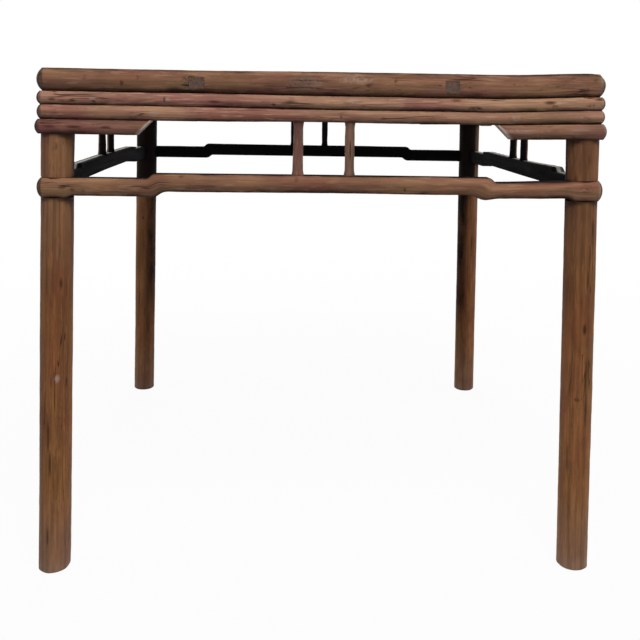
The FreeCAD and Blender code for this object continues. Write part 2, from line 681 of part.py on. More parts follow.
pieces = []
for turns, corner in enumerate(CORNERS):
    pieces.append(make_leg(f"leg_{corner}", turns))
for turns, side in enumerate(SIDES):
    make_rail = make_short_rail if turns % 2 else make_long_rail
    pieces.append(make_rail(f"frame_rail_{side}", turns))
    pieces.append(make_moulding(f"moulding_{side}", turns))
    pieces.append(make_apron(f"apron_{side}", turns))
    pieces.append(make_stretcher(f"stretcher_{side}", turns))
    pieces.append(make_spandrel(f"spandrel_{side}_a", turns, False))
    pieces.append(make_spandrel(f"spandrel_{side}_b", turns, True))
    pieces.append(make_strut(f"strut_{side}_a", turns, "-"))
    pieces.append(make_strut(f"strut_{side}_b", turns, ""))
for board in range(BOARDS):
    pieces.append(make_board(f"panel_board_{board + 1}", board))
for batten, (line, tenon_end) in enumerate(BATTENS, start=1):
    pieces.append(make_batten(f"batten_{batten}", line, tenon_end))
doc.recompute()


def check_features():
    """Stops if anything failed, or if a cut cut nothing or a pad added nothing."""
    for item in doc.Objects:
        if "Invalid" in item.State or "Error" in item.State:
            raise RuntimeError(f"{item.Label} failed: {item.State}")
    for piece in pieces:
        if piece.Shape.isNull() or not piece.Shape.isValid() or len(piece.Shape.Solids) != 1:
            raise RuntimeError(f"{piece.Label} is not one sound solid")
        for item in piece.Group:
            before = getattr(item, "BaseFeature", None)
            if before is None:
                continue
            change = item.Shape.Volume - before.Shape.Volume
            cuts = item.TypeId == "PartDesign::Pocket"
            if change >= 0 if cuts else change <= 0:
                raise RuntimeError(f"{piece.Label}: {item.Label} changed nothing")


check_features()
os.makedirs("parts", exist_ok=True)
for piece in pieces:
    piece.Shape.exportStep(f"parts/{piece.Label}.step")
print(f"{len(pieces)} pieces")
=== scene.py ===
"""An old square table for eight: round legs, and bars and mouldings that wrap round them.

Metres. The origin is on the floor under the table's centre, +Z is up and the front is at -Y.
Each side is made at the front and each leg at the front left corner, then turned to its place.
"""

import math
from collections import namedtuple

import bmesh
import bpy
from bpy.props import FloatProperty, FloatVectorProperty, PointerProperty
from mathutils import Color, Matrix, Vector, noise


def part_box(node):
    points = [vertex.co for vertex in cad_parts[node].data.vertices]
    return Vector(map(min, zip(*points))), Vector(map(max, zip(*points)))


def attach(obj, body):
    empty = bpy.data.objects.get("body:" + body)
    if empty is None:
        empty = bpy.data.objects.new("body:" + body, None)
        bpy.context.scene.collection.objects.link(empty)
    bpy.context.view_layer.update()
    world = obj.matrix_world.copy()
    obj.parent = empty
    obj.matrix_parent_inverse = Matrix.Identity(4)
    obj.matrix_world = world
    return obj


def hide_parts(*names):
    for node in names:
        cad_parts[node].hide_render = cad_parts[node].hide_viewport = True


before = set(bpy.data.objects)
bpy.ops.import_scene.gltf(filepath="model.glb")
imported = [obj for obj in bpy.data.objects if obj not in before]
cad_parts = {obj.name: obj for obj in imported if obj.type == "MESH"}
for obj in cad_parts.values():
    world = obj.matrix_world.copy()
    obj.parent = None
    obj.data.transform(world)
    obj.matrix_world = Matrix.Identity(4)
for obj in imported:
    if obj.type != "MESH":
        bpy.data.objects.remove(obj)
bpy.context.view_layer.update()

bl_info = {
    "name": "Table for Eight",
    "version": (1, 0, 0),
    "blender": (4, 5, 0),
    "location": "3D View > Sidebar > Table",
    "description": "Makes an old table with round legs, wrapped stretchers and stacked mouldings",
    "category": "Add Mesh",
}

SIDES = ("front", "right", "back", "left")
CORNERS = ("front_left", "front_right", "back_right", "back_left")
ALONG_X = Vector((1, 0, 0))
ALONG_Y = Vector((0, 1, 0))
UP = Vector((0, 0, 1))
IN_PLACE = Vector((0, 0, 0))
# An end face has more corners than this, and no other face has
MANY_CORNERS = 8
# Edges that turn more than this look sharp
SHARP = math.radians(38)


def length(name, default, description):
    return FloatProperty(name=name, default=default, description=description, unit="LENGTH", precision=4)


def share(name, default, description):
    return FloatProperty(name=name, default=default, description=description, min=0, max=1, subtype="FACTOR")


def paint(name, default, description):
    """A colour as it looks on a screen, from 0 to 1."""
    return FloatVectorProperty(name=name, default=default, description=description, size=3, min=0,
                               max=1, subtype="COLOR_GAMMA")


# What a user may change

class TableShape(bpy.types.PropertyGroup):
    """Sizes that the solid model's boxes don't give."""

    rail_swell: length("Rail Swell", 0.009, "How far the frame's rounded edge swells")
    rail_corner: length("Frame Corner", 0.020, "Radius of the frame's corner, seen from above")
    band_swell: length("Moulding Swell", 0.0055, "How far the half-round mouldings swell")
    band_corner: length("Moulding Corner", 0.012, "Radius of the mouldings' corner, seen from above")
    bar_swell: length("Stretcher Swell", 0.0075, "How far a stretcher's round face swells")
    bar_corner: length("Stretcher Corner", 0.015, "Radius of the stretchers' corner, seen from above")
    hump_rise: length("Hump Rise", 0.008, "How far a stretcher's middle stands above its ends")
    hump_bend: length("Hump Bend", 0.019, "Radius of the two arcs of each bend up to the hump")
    leg_inset: length("Leg Inset", 0.0295, "A leg's axis at the spandrels, back from the frame's face")
    leg_lean: FloatProperty(name="Leg Lean", default=0.015, description="Lean of a leg, per unit of height")
    leg_foot: length("Foot", 0.0515, "Diameter of a leg at the floor")
    leg_waist: length("Waist", 0.052, "Diameter of a leg at the stretchers")
    leg_head: length("Head", 0.053, "Diameter of a leg under the frame")
    leg_core: length("Core", 0.034, "Side of the square core inside the wrapped joints")
    strut_thick: length("Strut", 0.0155, "Diameter of a strut's shaft")
    strut_swell: length("Strut Swell", 0.0012, "How much wider in radius a strut is at its ends")
    strut_swell_tall: length("Strut Swell Height", 0.009, "Height of that swelling")


class TableWear(bpy.types.PropertyGroup):
    """How uneven and worn the wood is."""

    wave: length("Wave", 0.0006, "Slow unevenness that the hand plane left")
    ripple: length("Ripple", 0.00028, "Quick unevenness of worn grain")
    seam: length("Seam", 0.00012, "Half the open gap in a mitre")
    seam_edge: length("Seam Edge", 0.00045, "Rubbed edge beside a mitre or a joint")
    board_edge: length("Board Edge", 0.0009, "Rubbed edge beside a seam of the top")


class TableFinish(bpy.types.PropertyGroup):
    """Colours of the old wood and of what covers it; the grime and the lacquer also serve for painted shade.
    """

    leg_wood: paint("Legs", (0.478, 0.308, 0.186), "Wood of the legs")
    frame_wood: paint("Frame", (0.488, 0.344, 0.272), "Wood of the frame rails")
    moulding_wood: paint("Mouldings", (0.592, 0.440, 0.368), "Wood of the mouldings under the frame")
    apron_wood: paint("Aprons", (0.570, 0.420, 0.345), "Wood of the apron strips")
    spandrel_wood: paint("Spandrels", (0.462, 0.322, 0.272), "Wood of the spandrels")
    stretcher_wood: paint("Stretchers", (0.508, 0.368, 0.282), "Wood of the stretchers")
    strut_wood: paint("Struts", (0.485, 0.365, 0.305), "Wood of the struts")
    panel_wood: paint("Top", (0.420, 0.290, 0.225), "Wood of the top's boards")
    batten_wood: paint("Battens", (0.330, 0.235, 0.200), "Wood of the battens and of their tenons")
    # Also the colour of painted shade in the grooves, on the lower parts of the round faces and on the legs
    grime_and_shade: paint("Grime", (0.125, 0.056, 0.038), "Dirt and old varnish in the grooves")
    # Also the black of painted shade round the front corners and on the back legs
    lacquer: paint("Lacquer", (0.032, 0.030, 0.033), "Black lacquer on the inner faces")
    dust: paint("Dust", (0.700, 0.650, 0.600), "Dust and bare wood on worn edges")


class TableStudio(bpy.types.PropertyGroup):
    """Camera and lamps, and the strength of the soft light from all round."""

    eye: FloatVectorProperty(name="Camera", default=(-0.06065, -1.78573, 0.78357), size=3,
                             description="Place of the camera", subtype="TRANSLATION", unit="LENGTH")
    yaw: FloatProperty(name="Yaw", default=-0.0411, description="Camera's turn to the left", subtype="ANGLE")
    pitch: FloatProperty(name="Pitch", default=0.09348, description="Camera's tilt down", subtype="ANGLE")
    roll: FloatProperty(name="Roll", default=0.01733, description="Camera's roll", subtype="ANGLE")
    lens: FloatProperty(name="Lens", default=46.739, description="Focal length on a 36 mm sensor")
    rise: FloatProperty(name="Shift", default=-0.21945, description="Upright shift of the lens")
    ambient: share("Soft Light", 0.27, "Strength of the light from all round")
    key: FloatProperty(name="Key Lamp", default=71, description="Power of the front lamp", unit="POWER")
    back: FloatProperty(name="Back Lamp", default=40, description="Power of the back lamp", unit="POWER")
    right: FloatProperty(name="Right Lamp", default=24, description="Power of the right lamp", unit="POWER")
    left: FloatProperty(name="Left Lamp", default=18, description="Power of the left lamp", unit="POWER")


def group(name):
    return getattr(bpy.context.scene, f"table_{name}")


# Drawing with edges and sweeping them

def straight(bm, tip, run, steps):
    """Draws a straight line of edges on from a vertex, and gives its new end."""
    made = bmesh.ops.spin(bm, geom=[tip], cent=tip.co, axis=UP, dvec=run / steps, angle=0, steps=steps)
    return made["geom_last"][0]


def bend(bm, tip, centre, axis, angle, steps):
    """Draws an arc of edges on from a vertex, and gives its new end."""
    made = bmesh.ops.spin(bm, geom=[tip], cent=centre, axis=axis, dvec=IN_PLACE, angle=angle, steps=steps)
    return made["geom_last"][0]


def close_outline(bm):
    """Joins the outline's ends and fills it with one face."""
    bmesh.ops.remove_doubles(bm, verts=bm.verts[:], dist=1e-6)
    bmesh.ops.contextual_create(bm, geom=bm.verts[:] + bm.edges[:])


def put_in_order(bm):
    """Builds a bare mesh again in a fixed order, because spin leaves one that changes from run to run."""
    points = sorted(bm.verts, key=lambda vert: vert.co.to_tuple(6))
    number = {vert: count for count, vert in enumerate(points)}
    rings = []
    for face in bm.faces:
        ring = [number[vert] for vert in face.verts]
        first = ring.index(min(ring))
        rings.append(ring[first:] + ring[:first])
    places = [vert.co.copy() for vert in points]
    bm.clear()
    corners = [bm.verts.new(place) for place in places]
    for ring in sorted(rings):
        bm.faces.new([corners[count] for count in ring])


def sweep(bm, direction, runs, step):
    """Draws the whole outline out into a bar, run after run, each in equal stations."""
    last = bm.verts[:] + bm.edges[:] + bm.faces[:]
    for run in runs:
        made = bmesh.ops.spin(bm, geom=last, cent=IN_PLACE, axis=UP, dvec=direction * run, angle=0, steps=1)
        last = made["geom_last"]
    bmesh.ops.recalc_face_normals(bm, faces=bm.faces[:])
    put_in_order(bm)
    lengthwise = {}
    for edge in bm.edges:
        way = edge.verts[1].co - edge.verts[0].co
        if way.cross(direction).length < 1e-7:
            lengthwise.setdefault(round(way.length / step), []).append(edge)
    for steps, edges in lengthwise.items():
        if steps > 1:
            bmesh.ops.subdivide_edges(bm, edges=edges, cuts=steps - 1)


def caps(bm):
    """The end faces, which have many corners."""
    return [face for face in bm.faces if len(face.verts) > MANY_CORNERS]


def rub_edges(bm, edges, size, segments=1):
    bmesh.ops.bevel(bm, geom=edges, offset=size, offset_type="OFFSET", affect="EDGES",
                    segments=segments, profile=0.5, material=-1, clamp_overlap=True)


# What the paint reads from each point of the wood

LAYERS = ("crown", "lacquer", "dark", "pale", "tone")


def add_layers(bm):
    """crown: 1 on a round face's peak, 0 in the groove. The rest: how much of each lies there."""
    layers = {name: bm.verts.layers.float.new(name) for name in LAYERS}
    layers["grain"] = bm.verts.layers.float_vector.new("grain")
    return layers


def clamp(number, low=0.0, high=1.0):
    return max(low, min(high, number))


def fade(number, start, end):
    """0 before start, 1 after end, and a smooth step between."""
    part = clamp((number - start) / (end - start))
    return part * part * (3 - 2 * part)


def raise_to(vert, layer, amount):
    """Raises what a layer holds at a point to this amount, if it is less."""
    vert[layer] = max(vert[layer], amount)


# The first seed of each kind of piece; the pieces of a kind count on from it
SEEDS = {
    "frame_rail": 10,
    "moulding": 20,
    "apron": 30,
    "spandrel": 40,
    "stretcher": 50,
    "leg": 60,
    "strut": 70,
    "panel_board": 90,
    "batten": 100,
}


def tree(seed):
    """Each piece comes from its own place in the tree, so no two have the same grain."""
    return Vector((seed * 1.37 % 11, seed * 0.71 % 7, seed * 0.43 % 5))


def note_grain(bm, layers, seed, axis="x"):
    """Keeps each point's place in the straight wood, with the grain along X."""
    for vert in bm.verts:
        x, y, z = vert.co
        along = {"x": (x, y, z), "y": (y, x, z), "z": (z, x, y)}[axis]
        vert[layers["grain"]] = Vector(along) + tree(seed)


# How fine the unevenness is, along the grain and across it
SLOW = Vector((7, 14, 14))
QUICK = Vector((38, 110, 110))
FINEST, FINEST_SHARE = Vector((90, 240, 240)), 0.6


def roughen(bm, layers, hold=None):
    """Moves the surface in and out a little along its normals, less where hold says so."""
    wear = group("wear")
    bm.normal_update()
    for vert in bm.verts:
        place = vert[layers["grain"]]
        slow = noise.noise(place * SLOW)
        quick = noise.noise(place * QUICK) + FINEST_SHARE * noise.noise(place * FINEST)
        free = 1 - (hold(vert) if hold else 0)
        vert.co += vert.normal * free * (slow * wear.wave + quick * wear.ripple)


# Marks: where on the piece, how long and tall, how dark and pale, how deep, how broken

Mark = namedtuple("Mark", "x up long tall dark pale deep broken", defaults=(0.0, 0.0, 0.0, 0.0))


def stamp(bm, layers, marks, low):
    """Darkens, bleaches and dents the crowned wood at each mark, whose height counts from low."""
    for vert in bm.verts:
        if vert[layers["crown"]] <= 0:
            continue
        x, _, z = vert.co
        push = 0.0
        for mark in marks:
            across = abs(x - mark.x) / mark.long
            upright = abs(z - low - mark.up) / mark.tall
            if across > 1 or upright > 1:
                continue
            weight = fade(1 - math.hypot(across, upright), 0, 0.6)
            if mark.broken:
                speck = noise.noise(Vector((x * 330, z * 420, mark.x * 9)))
                weight *= fade(speck, mark.broken - 0.5, mark.broken)
            raise_to(vert, layers["dark"], weight * mark.dark)
            raise_to(vert, layers["pale"], weight * mark.pale)
            push = max(push, weight * mark.deep)
        vert.co -= vert.normal * push


# Putting a piece in its place

# How far the old joints have moved up: the height, then the lift at the left end, in the middle and
# at the right end
LIFTS = (
    (0.5500, 0.0000, 0.0000, 0.0000),
    (0.6300, -0.0026, -0.0020, 0.0000),
    (0.6665, -0.0026, -0.0020, 0.0050),
    (0.7050, 0.0000, 0.0000, 0.0000),
    (0.7270, -0.0014, 0.0000, 0.0024),
    (0.7505, -0.0016, 0.0000, 0.0046),
    (0.7710, 0.0012, 0.0002, 0.0060),
    (0.7925, 0.0010, 0.0002, 0.0060),
    (0.8300, -0.0003, 0.0012, 0.0066),
)
# The rows up to this height are the stretchers'; the last row also holds for a little wood above it
STRETCHER_LIFTS_END = 0.7050
PAST_LAST_LIFT = 0.02
# Where the lifts of the left end, the right end and the front set in, and where they are full
LEFT_END = (0.0, 0.22)
RIGHT_END = (0.26, 0.47)
FRONT_HALF = (0.0, 0.35)

# The rubbed corner: how far from it the wood is lower, over what height and by how much
WORN_REACH = (0.002, 0.030)
WORN_TALL = 0.018
WORN_DEEP = 0.0060


def settle(bm):
    """Moves the wood up or down by LIFTS; the stretchers have moved at the front only."""
    for vert in bm.verts:
        x, y, z = vert.co
        for (low, *below), (high, *above) in zip(LIFTS, LIFTS[1:]):
            last = high == LIFTS[-1][0]
            if low < z <= high + PAST_LAST_LIFT * last:
                part = clamp((z - low) / (high - low))
                left, middle, right = (a + (b - a) * part for a, b in zip(below, above))
                lift = middle + (left - middle) * fade(-x, *LEFT_END)
                lift += (right - middle) * fade(x, *RIGHT_END)
                vert.co.z += lift * (fade(-y, *FRONT_HALF) if high <= STRETCHER_LIFTS_END else 1)
                break


def wear_corner(bm):
    """Rubs down the frame's front right corner."""
    low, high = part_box("frame_rail_front")
    corner = Vector((-low.y, low.y))
    for vert in bm.verts:
        near = 1 - fade((vert.co.xy - corner).length, *WORN_REACH)
        vert.co.z -= WORN_DEEP * near * fade(vert.co.z, high.z - WORN_TALL, high.z)


def turn_round(bm, turns):
    """Turns the wood about the table's centre, by quarter turns."""
    quarters = Matrix.Rotation(turns * math.pi / 2, 3, "Z")
    bmesh.ops.rotate(bm, verts=bm.verts[:], cent=IN_PLACE, matrix=quarters)


def finish_piece(bm, node, slot, turns=0):
    """Turns the wood to its side of the table and makes it the piece that stands for a node."""
    turn_round(bm, turns)
    if node in ("frame_rail_front", "frame_rail_right"):
        wear_corner(bm)
    settle(bm)
    mesh = bpy.data.meshes.new(f"{node}_wood")
    bm.to_mesh(mesh)
    bm.free()
    mesh.shade_smooth()
    mesh.set_sharp_from_angle(angle=SHARP)
    piece = bpy.data.objects.new(f"{node}_wood", mesh)
    bpy.context.scene.collection.objects.link(piece)
    mesh.materials.append(old_wood(slot))
    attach(piece, "root")
    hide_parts(node)


# Bands: frame rails, mouldings, aprons, spandrels and stretchers

STATION = 0.0026
ARC_STEP = 0.0021
FLAT_STEP = 0.006


class Band:
    """A bar along one side: its heights, its distances out from the table's centre, and its swell."""

    def __init__(self, node, swell, corner, rise=0.0):
        low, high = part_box(node)
        self.face, self.back = -low.y, -high.y
        self.low, self.top = low.z, high.z - rise
        self.swell, self.corner = swell, corner
        self.edge = self.face - swell
        self.centre = self.face - corner
        self.middle = (self.low + self.top) / 2
        self.half = (self.top - self.low) / 2
        self.radius = (swell ** 2 + self.half ** 2) / (2 * swell)
        self.spread = math.asin(self.half / self.radius)
        self.reach = self.centre + corner * math.pi / 4

    def face_at(self, z):
        """How far out the round face is at a height."""
        return self.face - self.radius + math.sqrt(self.radius ** 2 - (z - self.middle) ** 2)


def rail_band():
    shape = group("shape")
    return Band("frame_rail_front", shape.rail_swell, shape.rail_corner)


def bar_band():
    shape = group("shape")
    return Band("stretcher_front", shape.bar_swell, shape.bar_corner, shape.hump_rise)


def moulded_band(node):
    shape = group("shape")
    return Band(node, shape.band_swell, shape.band_corner)


def draw_band(bm, band, x):
    """The band's section, from the inner face round by the swelling face."""
    deep = Vector((0, band.edge - band.back, 0))
    tall = band.top - band.low
    tip = bm.verts.new((x, -band.back, band.low))
    tip = straight(bm, tip, -deep, max(2, round(deep.y / FLAT_STEP)))
    hub = Vector((x, band.radius - band.face, band.middle))
    turn = 2 * band.spread
    tip = bend(bm, tip, hub, -ALONG_X, turn, round(turn * band.radius / ARC_STEP))
    tip = straight(bm, tip, deep, max(2, round(deep.y / FLAT_STEP)))
    straight(bm, tip, -UP * tall, round(tall / FLAT_STEP))
    close_outline(bm)


# Round faces: how far up the painted shade on their lower part reaches and their crown rises, as a share of
# their height
SHADED = 0.60
# Flat faces: how far behind the round face the lacquer is full, and how worn the frame's top is
LACQUER_FULL = 0.004
TOP_CROWN, TOP_CROWN_MORE, TOP_CROWN_FULL = 0.22, 0.20, 0.008
# Which part of a stretcher's top is rubbed bare, from its inner edge out, and the size of a bare patch
BARE_START, BARE_FULL = 0.30, 0.50
PATCH_REACH = (0.011, 0.019)
LACQUER_RUBBED = 0.95
# Dirt beside a mitre and in a joint
MITRE_DIRT = 0.9
MITRE_REACH = (0.0004, 0.0026)
JOINT_DIRT = 0.75


def paint_band(bm, layers, band, top_bare=False, dusty=0.0, patch=0.0, shade=0.32, brow=0.14, tone=0.0):
    """Notes the round face, the painted shade on its lower part and the lacquer of the inner faces.

    brow is the share of the face's height over which its crown falls off at the top; so the crown's rubbed,
    lighter wood sits high on the face, partly as painted light from above.
    """
    for vert in bm.verts:
        x, y, z = vert.co
        out = -y
        if out > band.edge - 1e-6:
            part = (z - band.low) / (2 * band.half)
            vert[layers["crown"]] = clamp(min((1 - part) / brow, part / SHADED), 0.001)
            # Painted shade: the lower part of the round face is darker, as under light from above
            vert[layers["dark"]] = shade * (1 - fade(part, 0.0, SHADED))
        on_top = abs(z - band.top) < 1e-5
        inside = fade(band.edge - out, 0.0, LACQUER_FULL)
        if on_top and top_bare:
            bare = TOP_CROWN + TOP_CROWN_MORE * fade(band.edge - out, 0.0, TOP_CROWN_FULL)
            raise_to(vert, layers["crown"], bare)
            inside = 0.0
        if on_top and dusty:
            bare = fade((out - band.back) / (band.edge - band.back), BARE_START, BARE_FULL)
            if patch:
                bare = max(bare, 1 - fade(abs(x - patch), *PATCH_REACH))
            vert[layers["pale"]] = dusty * inside * bare
            inside *= 1 - LACQUER_RUBBED * dusty * bare
        vert[layers["lacquer"]] = inside
        vert[layers["tone"]] = tone
        seam = MITRE_DIRT * (1 - fade(band.reach - abs(x), *MITRE_REACH))
        raise_to(vert, layers["dark"], seam)


def wrap_corners(bm, band, ends):
    """Cuts the ends to the mitre and carries the outer part round the table's corners."""
    seam = group("wear").seam
    for vert in bm.verts:
        x, out = abs(vert.co.x), -vert.co.y
        side = 1 if vert.co.x > 0 else -1
        if side not in ends:
            continue
        if out <= band.centre:
            x = min(x, out - seam * math.sqrt(2))
        elif x > band.centre:
            turn = (x - band.centre) / band.corner
            back = seam * turn / (math.pi / 4) / math.sqrt(2)
            radius = out - band.centre
            x = band.centre + radius * math.sin(turn) - back
            out = band.centre + radius * math.cos(turn) + back
        vert.co.x, vert.co.y = side * x, -out
    bmesh.ops.remove_doubles(bm, verts=bm.verts[:], dist=2e-5)


# Where the front's bands turn grey and darker round a corner, with dust and painted shade, and where a dark
# line lies, as shares of the radius
GREY_START, DARK_LINE, GREY_FULL = 0.34, 0.40, 0.46
LINE_REACH = (0.0004, 0.0018)
LINE_DARK = 0.8
# How far from the corner's centre the side's bands start to turn grey and are full grey
SIDE_GREY = (-0.010, 0.004)
# Painted shade on the ends that turn away from the light, drawn with the lacquer's black, and pale grey dust
CORNER_SHADE = {"left": 0.42, "right": 0.24}
GREY_PALE = {"left": 0.16, "right": 0.30}


def grey_and_shade_front_end(bm, layers, band, turns):
    """The bands are greyer and darker where they come round the two front corners, with pale dust and with
    painted shade where their faces turn away from the light.
    """
    start, line, full = (band.centre + band.corner * part for part in (GREY_START, DARK_LINE, GREY_FULL))
    for vert in bm.verts:
        x = vert.co.x
        if turns == 0:
            near = fade(abs(x), start, full)
            dark = LINE_DARK * (1 - fade(abs(abs(x) - line), *LINE_REACH)) * (x < 0)
            raise_to(vert, layers["dark"], dark)
            end = "left" if x < 0 else "right"
        elif turns in (1, 3):
            near = fade(x * (turns - 2), *(band.centre + off for off in SIDE_GREY))
            end = SIDES[turns]
        else:
            continue
        # Painted shade, drawn with the lacquer's black
        raise_to(vert, layers["lacquer"], near * CORNER_SHADE[end])
        raise_to(vert, layers["pale"], near * GREY_PALE[end])


def soil_ends(bm, layers, dark):
    """Lets dirt lie round each end face."""
    for face in caps(bm):
        for vert in face.verts:
            raise_to(vert, layers["dark"], dark)


def rub_ends(bm, size):
    """Rubs the edges round each end face."""
    ends = set(caps(bm))
    rub_edges(bm, [edge for edge in bm.edges if not ends.isdisjoint(edge.link_faces)], size)


def blank_band(band, node, seed, runs, **paint_as):
    """A straight band, drawn from its left end, with its grain and its faces noted."""
    bm = bmesh.new()
    draw_band(bm, band, -band.reach)
    sweep(bm, ALONG_X, runs, STATION)
    layers = add_layers(bm)
    note_grain(bm, layers, seed)
    paint_band(bm, layers, band, tone=TONES.get(node, 0.0), **paint_as)
    return bm, layers


def weather(bm, layers, band, node, slot, turns):
    """Rubs and roughens a band, stamps its marks and puts it in its place."""
    rub_ends(bm, group("wear").seam_edge)
    roughen(bm, layers, hold=lambda vert: vert[layers["lacquer"]])
    bm.normal_update()
    stamp(bm, layers, MARKS.get(node, ()), band.low)
    finish_piece(bm, node, slot, turns)


def finish_band(bm, layers, band, node, slot, turns):
    """Finishes a band that has a mitre at both ends."""
    grey_and_shade_front_end(bm, layers, band, turns)
    soil_ends(bm, layers, JOINT_DIRT)
    weather(bm, layers, band, node, slot, turns)


# Marks that years of use left on the front pieces, and the tone of each piece of wood

MARKS = {
    "frame_rail_front": (
        Mark(-0.3214, 0.0137, 0.0030, 0.0065, dark=0.85, deep=0.0006),
        Mark(-0.2956, 0.0240, 0.0025, 0.0060, dark=0.40),
        Mark(-0.3790, 0.0230, 0.0030, 0.0060, dark=0.35),
        Mark(-0.2152, 0.0210, 0.0170, 0.0110, dark=0.85, deep=0.0009, broken=0.25),
        Mark(-0.2187, 0.0122, 0.0130, 0.0026, dark=1.00, deep=0.0016),
        Mark(-0.2182, 0.0078, 0.0190, 0.0026, pale=0.30, broken=0.10),
        Mark(-0.0414, 0.0190, 0.0360, 0.0170, dark=0.70, deep=0.0007, broken=0.30),
        Mark(-0.0343, 0.0200, 0.0380, 0.0160, pale=0.32, broken=0.28),
        Mark(0.0501, 0.0270, 0.0380, 0.0100, pale=0.30, broken=0.25),
        Mark(0.0704, 0.0170, 0.0090, 0.0050, dark=0.70, deep=0.0006, broken=0.15),
        Mark(0.1121, 0.0245, 0.0035, 0.0028, dark=0.80, deep=0.0004),
        Mark(0.2075, 0.0040, 0.0600, 0.0055, dark=0.45, broken=0.05),
        Mark(0.4361, 0.0270, 0.0060, 0.0060, dark=0.60, broken=0.20),
        Mark(0.4207, 0.0100, 0.0160, 0.0080, dark=0.60, broken=0.25),
    ),
    "moulding_front": (
        Mark(-0.4307, 0.0080, 0.0080, 0.0036, dark=0.75, deep=0.0004),
        Mark(-0.4154, 0.0050, 0.0120, 0.0040, dark=0.60, broken=0.15),
        Mark(-0.3656, 0.0058, 0.0055, 0.0028, dark=0.90, deep=0.0006),
        Mark(-0.3677, 0.0100, 0.0070, 0.0030, pale=0.55),
        Mark(-0.2548, 0.0100, 0.0030, 0.0055, dark=0.90, deep=0.0005),
        Mark(-0.2497, 0.0110, 0.0050, 0.0040, pale=0.40),
        Mark(-0.1755, 0.0078, 0.0150, 0.0020, dark=0.75, deep=0.0003),
        Mark(-0.1531, 0.0052, 0.0130, 0.0020, dark=0.75, deep=0.0003),
        Mark(-0.1358, 0.0046, 0.0070, 0.0034, dark=0.60, broken=0.10),
        Mark(-0.0815, 0.0060, 0.0045, 0.0032, dark=0.85, deep=0.0005),
        Mark(0.0349, 0.0100, 0.0110, 0.0020, dark=0.50),
        Mark(0.0522, 0.0128, 0.0110, 0.0020, dark=0.50),
        Mark(0.0451, 0.0146, 0.0150, 0.0030, pale=0.35),
        Mark(0.2421, 0.0052, 0.0160, 0.0034, dark=1.00, deep=0.0009, broken=0.02),
        Mark(0.3711, 0.0073, 0.0070, 0.0034, dark=0.70, deep=0.0003, broken=0.10),
        Mark(0.3773, 0.0130, 0.0060, 0.0030, pale=0.45),
        Mark(0.4310, 0.0078, 0.0120, 0.0040, dark=0.70, deep=0.0003, broken=0.15),
    ),
    "apron_front": (
        Mark(0.0258, 0.0086, 0.0028, 0.0034, dark=0.80, deep=0.0004),
        Mark(-0.3044, 0.0035, 0.0140, 0.0024, dark=0.65, broken=0.05),
        Mark(-0.2719, 0.0100, 0.0110, 0.0050, pale=0.25),
        Mark(0.3081, 0.0120, 0.0090, 0.0044, pale=0.45, broken=0.15),
        Mark(-0.4254, 0.0080, 0.0060, 0.0030, dark=0.55, broken=0.10),
        Mark(0.4237, 0.0090, 0.0110, 0.0040, dark=0.55, broken=0.20),
    ),
    "spandrel_front_a": (
        Mark(-0.3959, 0.0118, 0.0190, 0.0024, dark=0.85, deep=0.0003),
        Mark(-0.3462, 0.0112, 0.0120, 0.0026, dark=0.90, deep=0.0005),
        Mark(-0.4344, 0.0122, 0.0130, 0.0024, dark=0.60),
        Mark(-0.3615, 0.0160, 0.0100, 0.0030, dark=0.35, broken=0.10),
    ),
    "spandrel_front_b": (
        Mark(0.3131, 0.0145, 0.0340, 0.0026, pale=0.35, broken=0.05),
        Mark(0.3739, 0.0135, 0.0400, 0.0020, dark=0.40, broken=0.05),
        Mark(0.4144, 0.0150, 0.0200, 0.0022, pale=0.30),
    ),
    "stretcher_front": (
        Mark(-0.4163, 0.0125, 0.0080, 0.0032, dark=0.75, deep=0.0003),
        Mark(-0.4001, 0.0100, 0.0050, 0.0034, dark=0.70, deep=0.0003),
        Mark(-0.3828, 0.0085, 0.0050, 0.0028, dark=0.60),
        Mark(0.1308, 0.0155, 0.0026, 0.0042, dark=1.00, deep=0.0007),
        Mark(0.0682, 0.0125, 0.0070, 0.0026, dark=0.60, broken=0.10),
        Mark(-0.0966, 0.0100, 0.0060, 0.0026, dark=0.80, broken=0.05),
        Mark(-0.0441, 0.0300, 0.0050, 0.0060, dark=0.40),
        Mark(-0.2282, 0.0330, 0.0050, 0.0024, dark=0.55),
        Mark(0.4289, 0.0170, 0.0150, 0.0090, dark=0.45, broken=0.25),
    ),
    "leg_front_left": (
        Mark(-0.4422, 0.232, 0.0028, 0.036, dark=0.85, deep=0.0005),
        Mark(-0.4396, 0.187, 0.0026, 0.030, dark=0.80, deep=0.0005),
        Mark(-0.4270, 0.329, 0.0055, 0.0070, pale=0.60),
        Mark(-0.4449, 0.063, 0.0030, 0.020, dark=0.75, deep=0.0004),
        Mark(-0.4254, 0.706, 0.0100, 0.0080, dark=0.70, deep=0.0003, broken=0.20),
        Mark(-0.4404, 0.683, 0.0040, 0.0060, dark=0.60, broken=0.10),
    ),
    "leg_front_right": (
        Mark(0.4430, 0.577, 0.0026, 0.032, dark=0.80, deep=0.0005),
        Mark(0.4404, 0.537, 0.0026, 0.032, dark=0.80, deep=0.0005),
        Mark(0.4380, 0.498, 0.0026, 0.026, dark=0.75, deep=0.0004),
        Mark(0.4415, 0.333, 0.0026, 0.042, dark=0.75, deep=0.0004),
        Mark(0.4439, 0.278, 0.0026, 0.038, dark=0.75, deep=0.0004),
        Mark(0.4284, 0.296, 0.0060, 0.0050, dark=0.80, deep=0.0004, broken=0.05),
        Mark(0.4317, 0.691, 0.0024, 0.024, dark=0.65, deep=0.0003),
    ),
}
TONES = {
    "frame_rail_front": 0.05,
    "apron_front": -0.10,
    "spandrel_front_a": -0.55,
    "spandrel_front_b": -0.15,
    "leg_front_left": 0.10,
    "leg_front_right": 0.05,
    "leg_back_left": -0.30,
    "leg_back_right": -0.10,
}


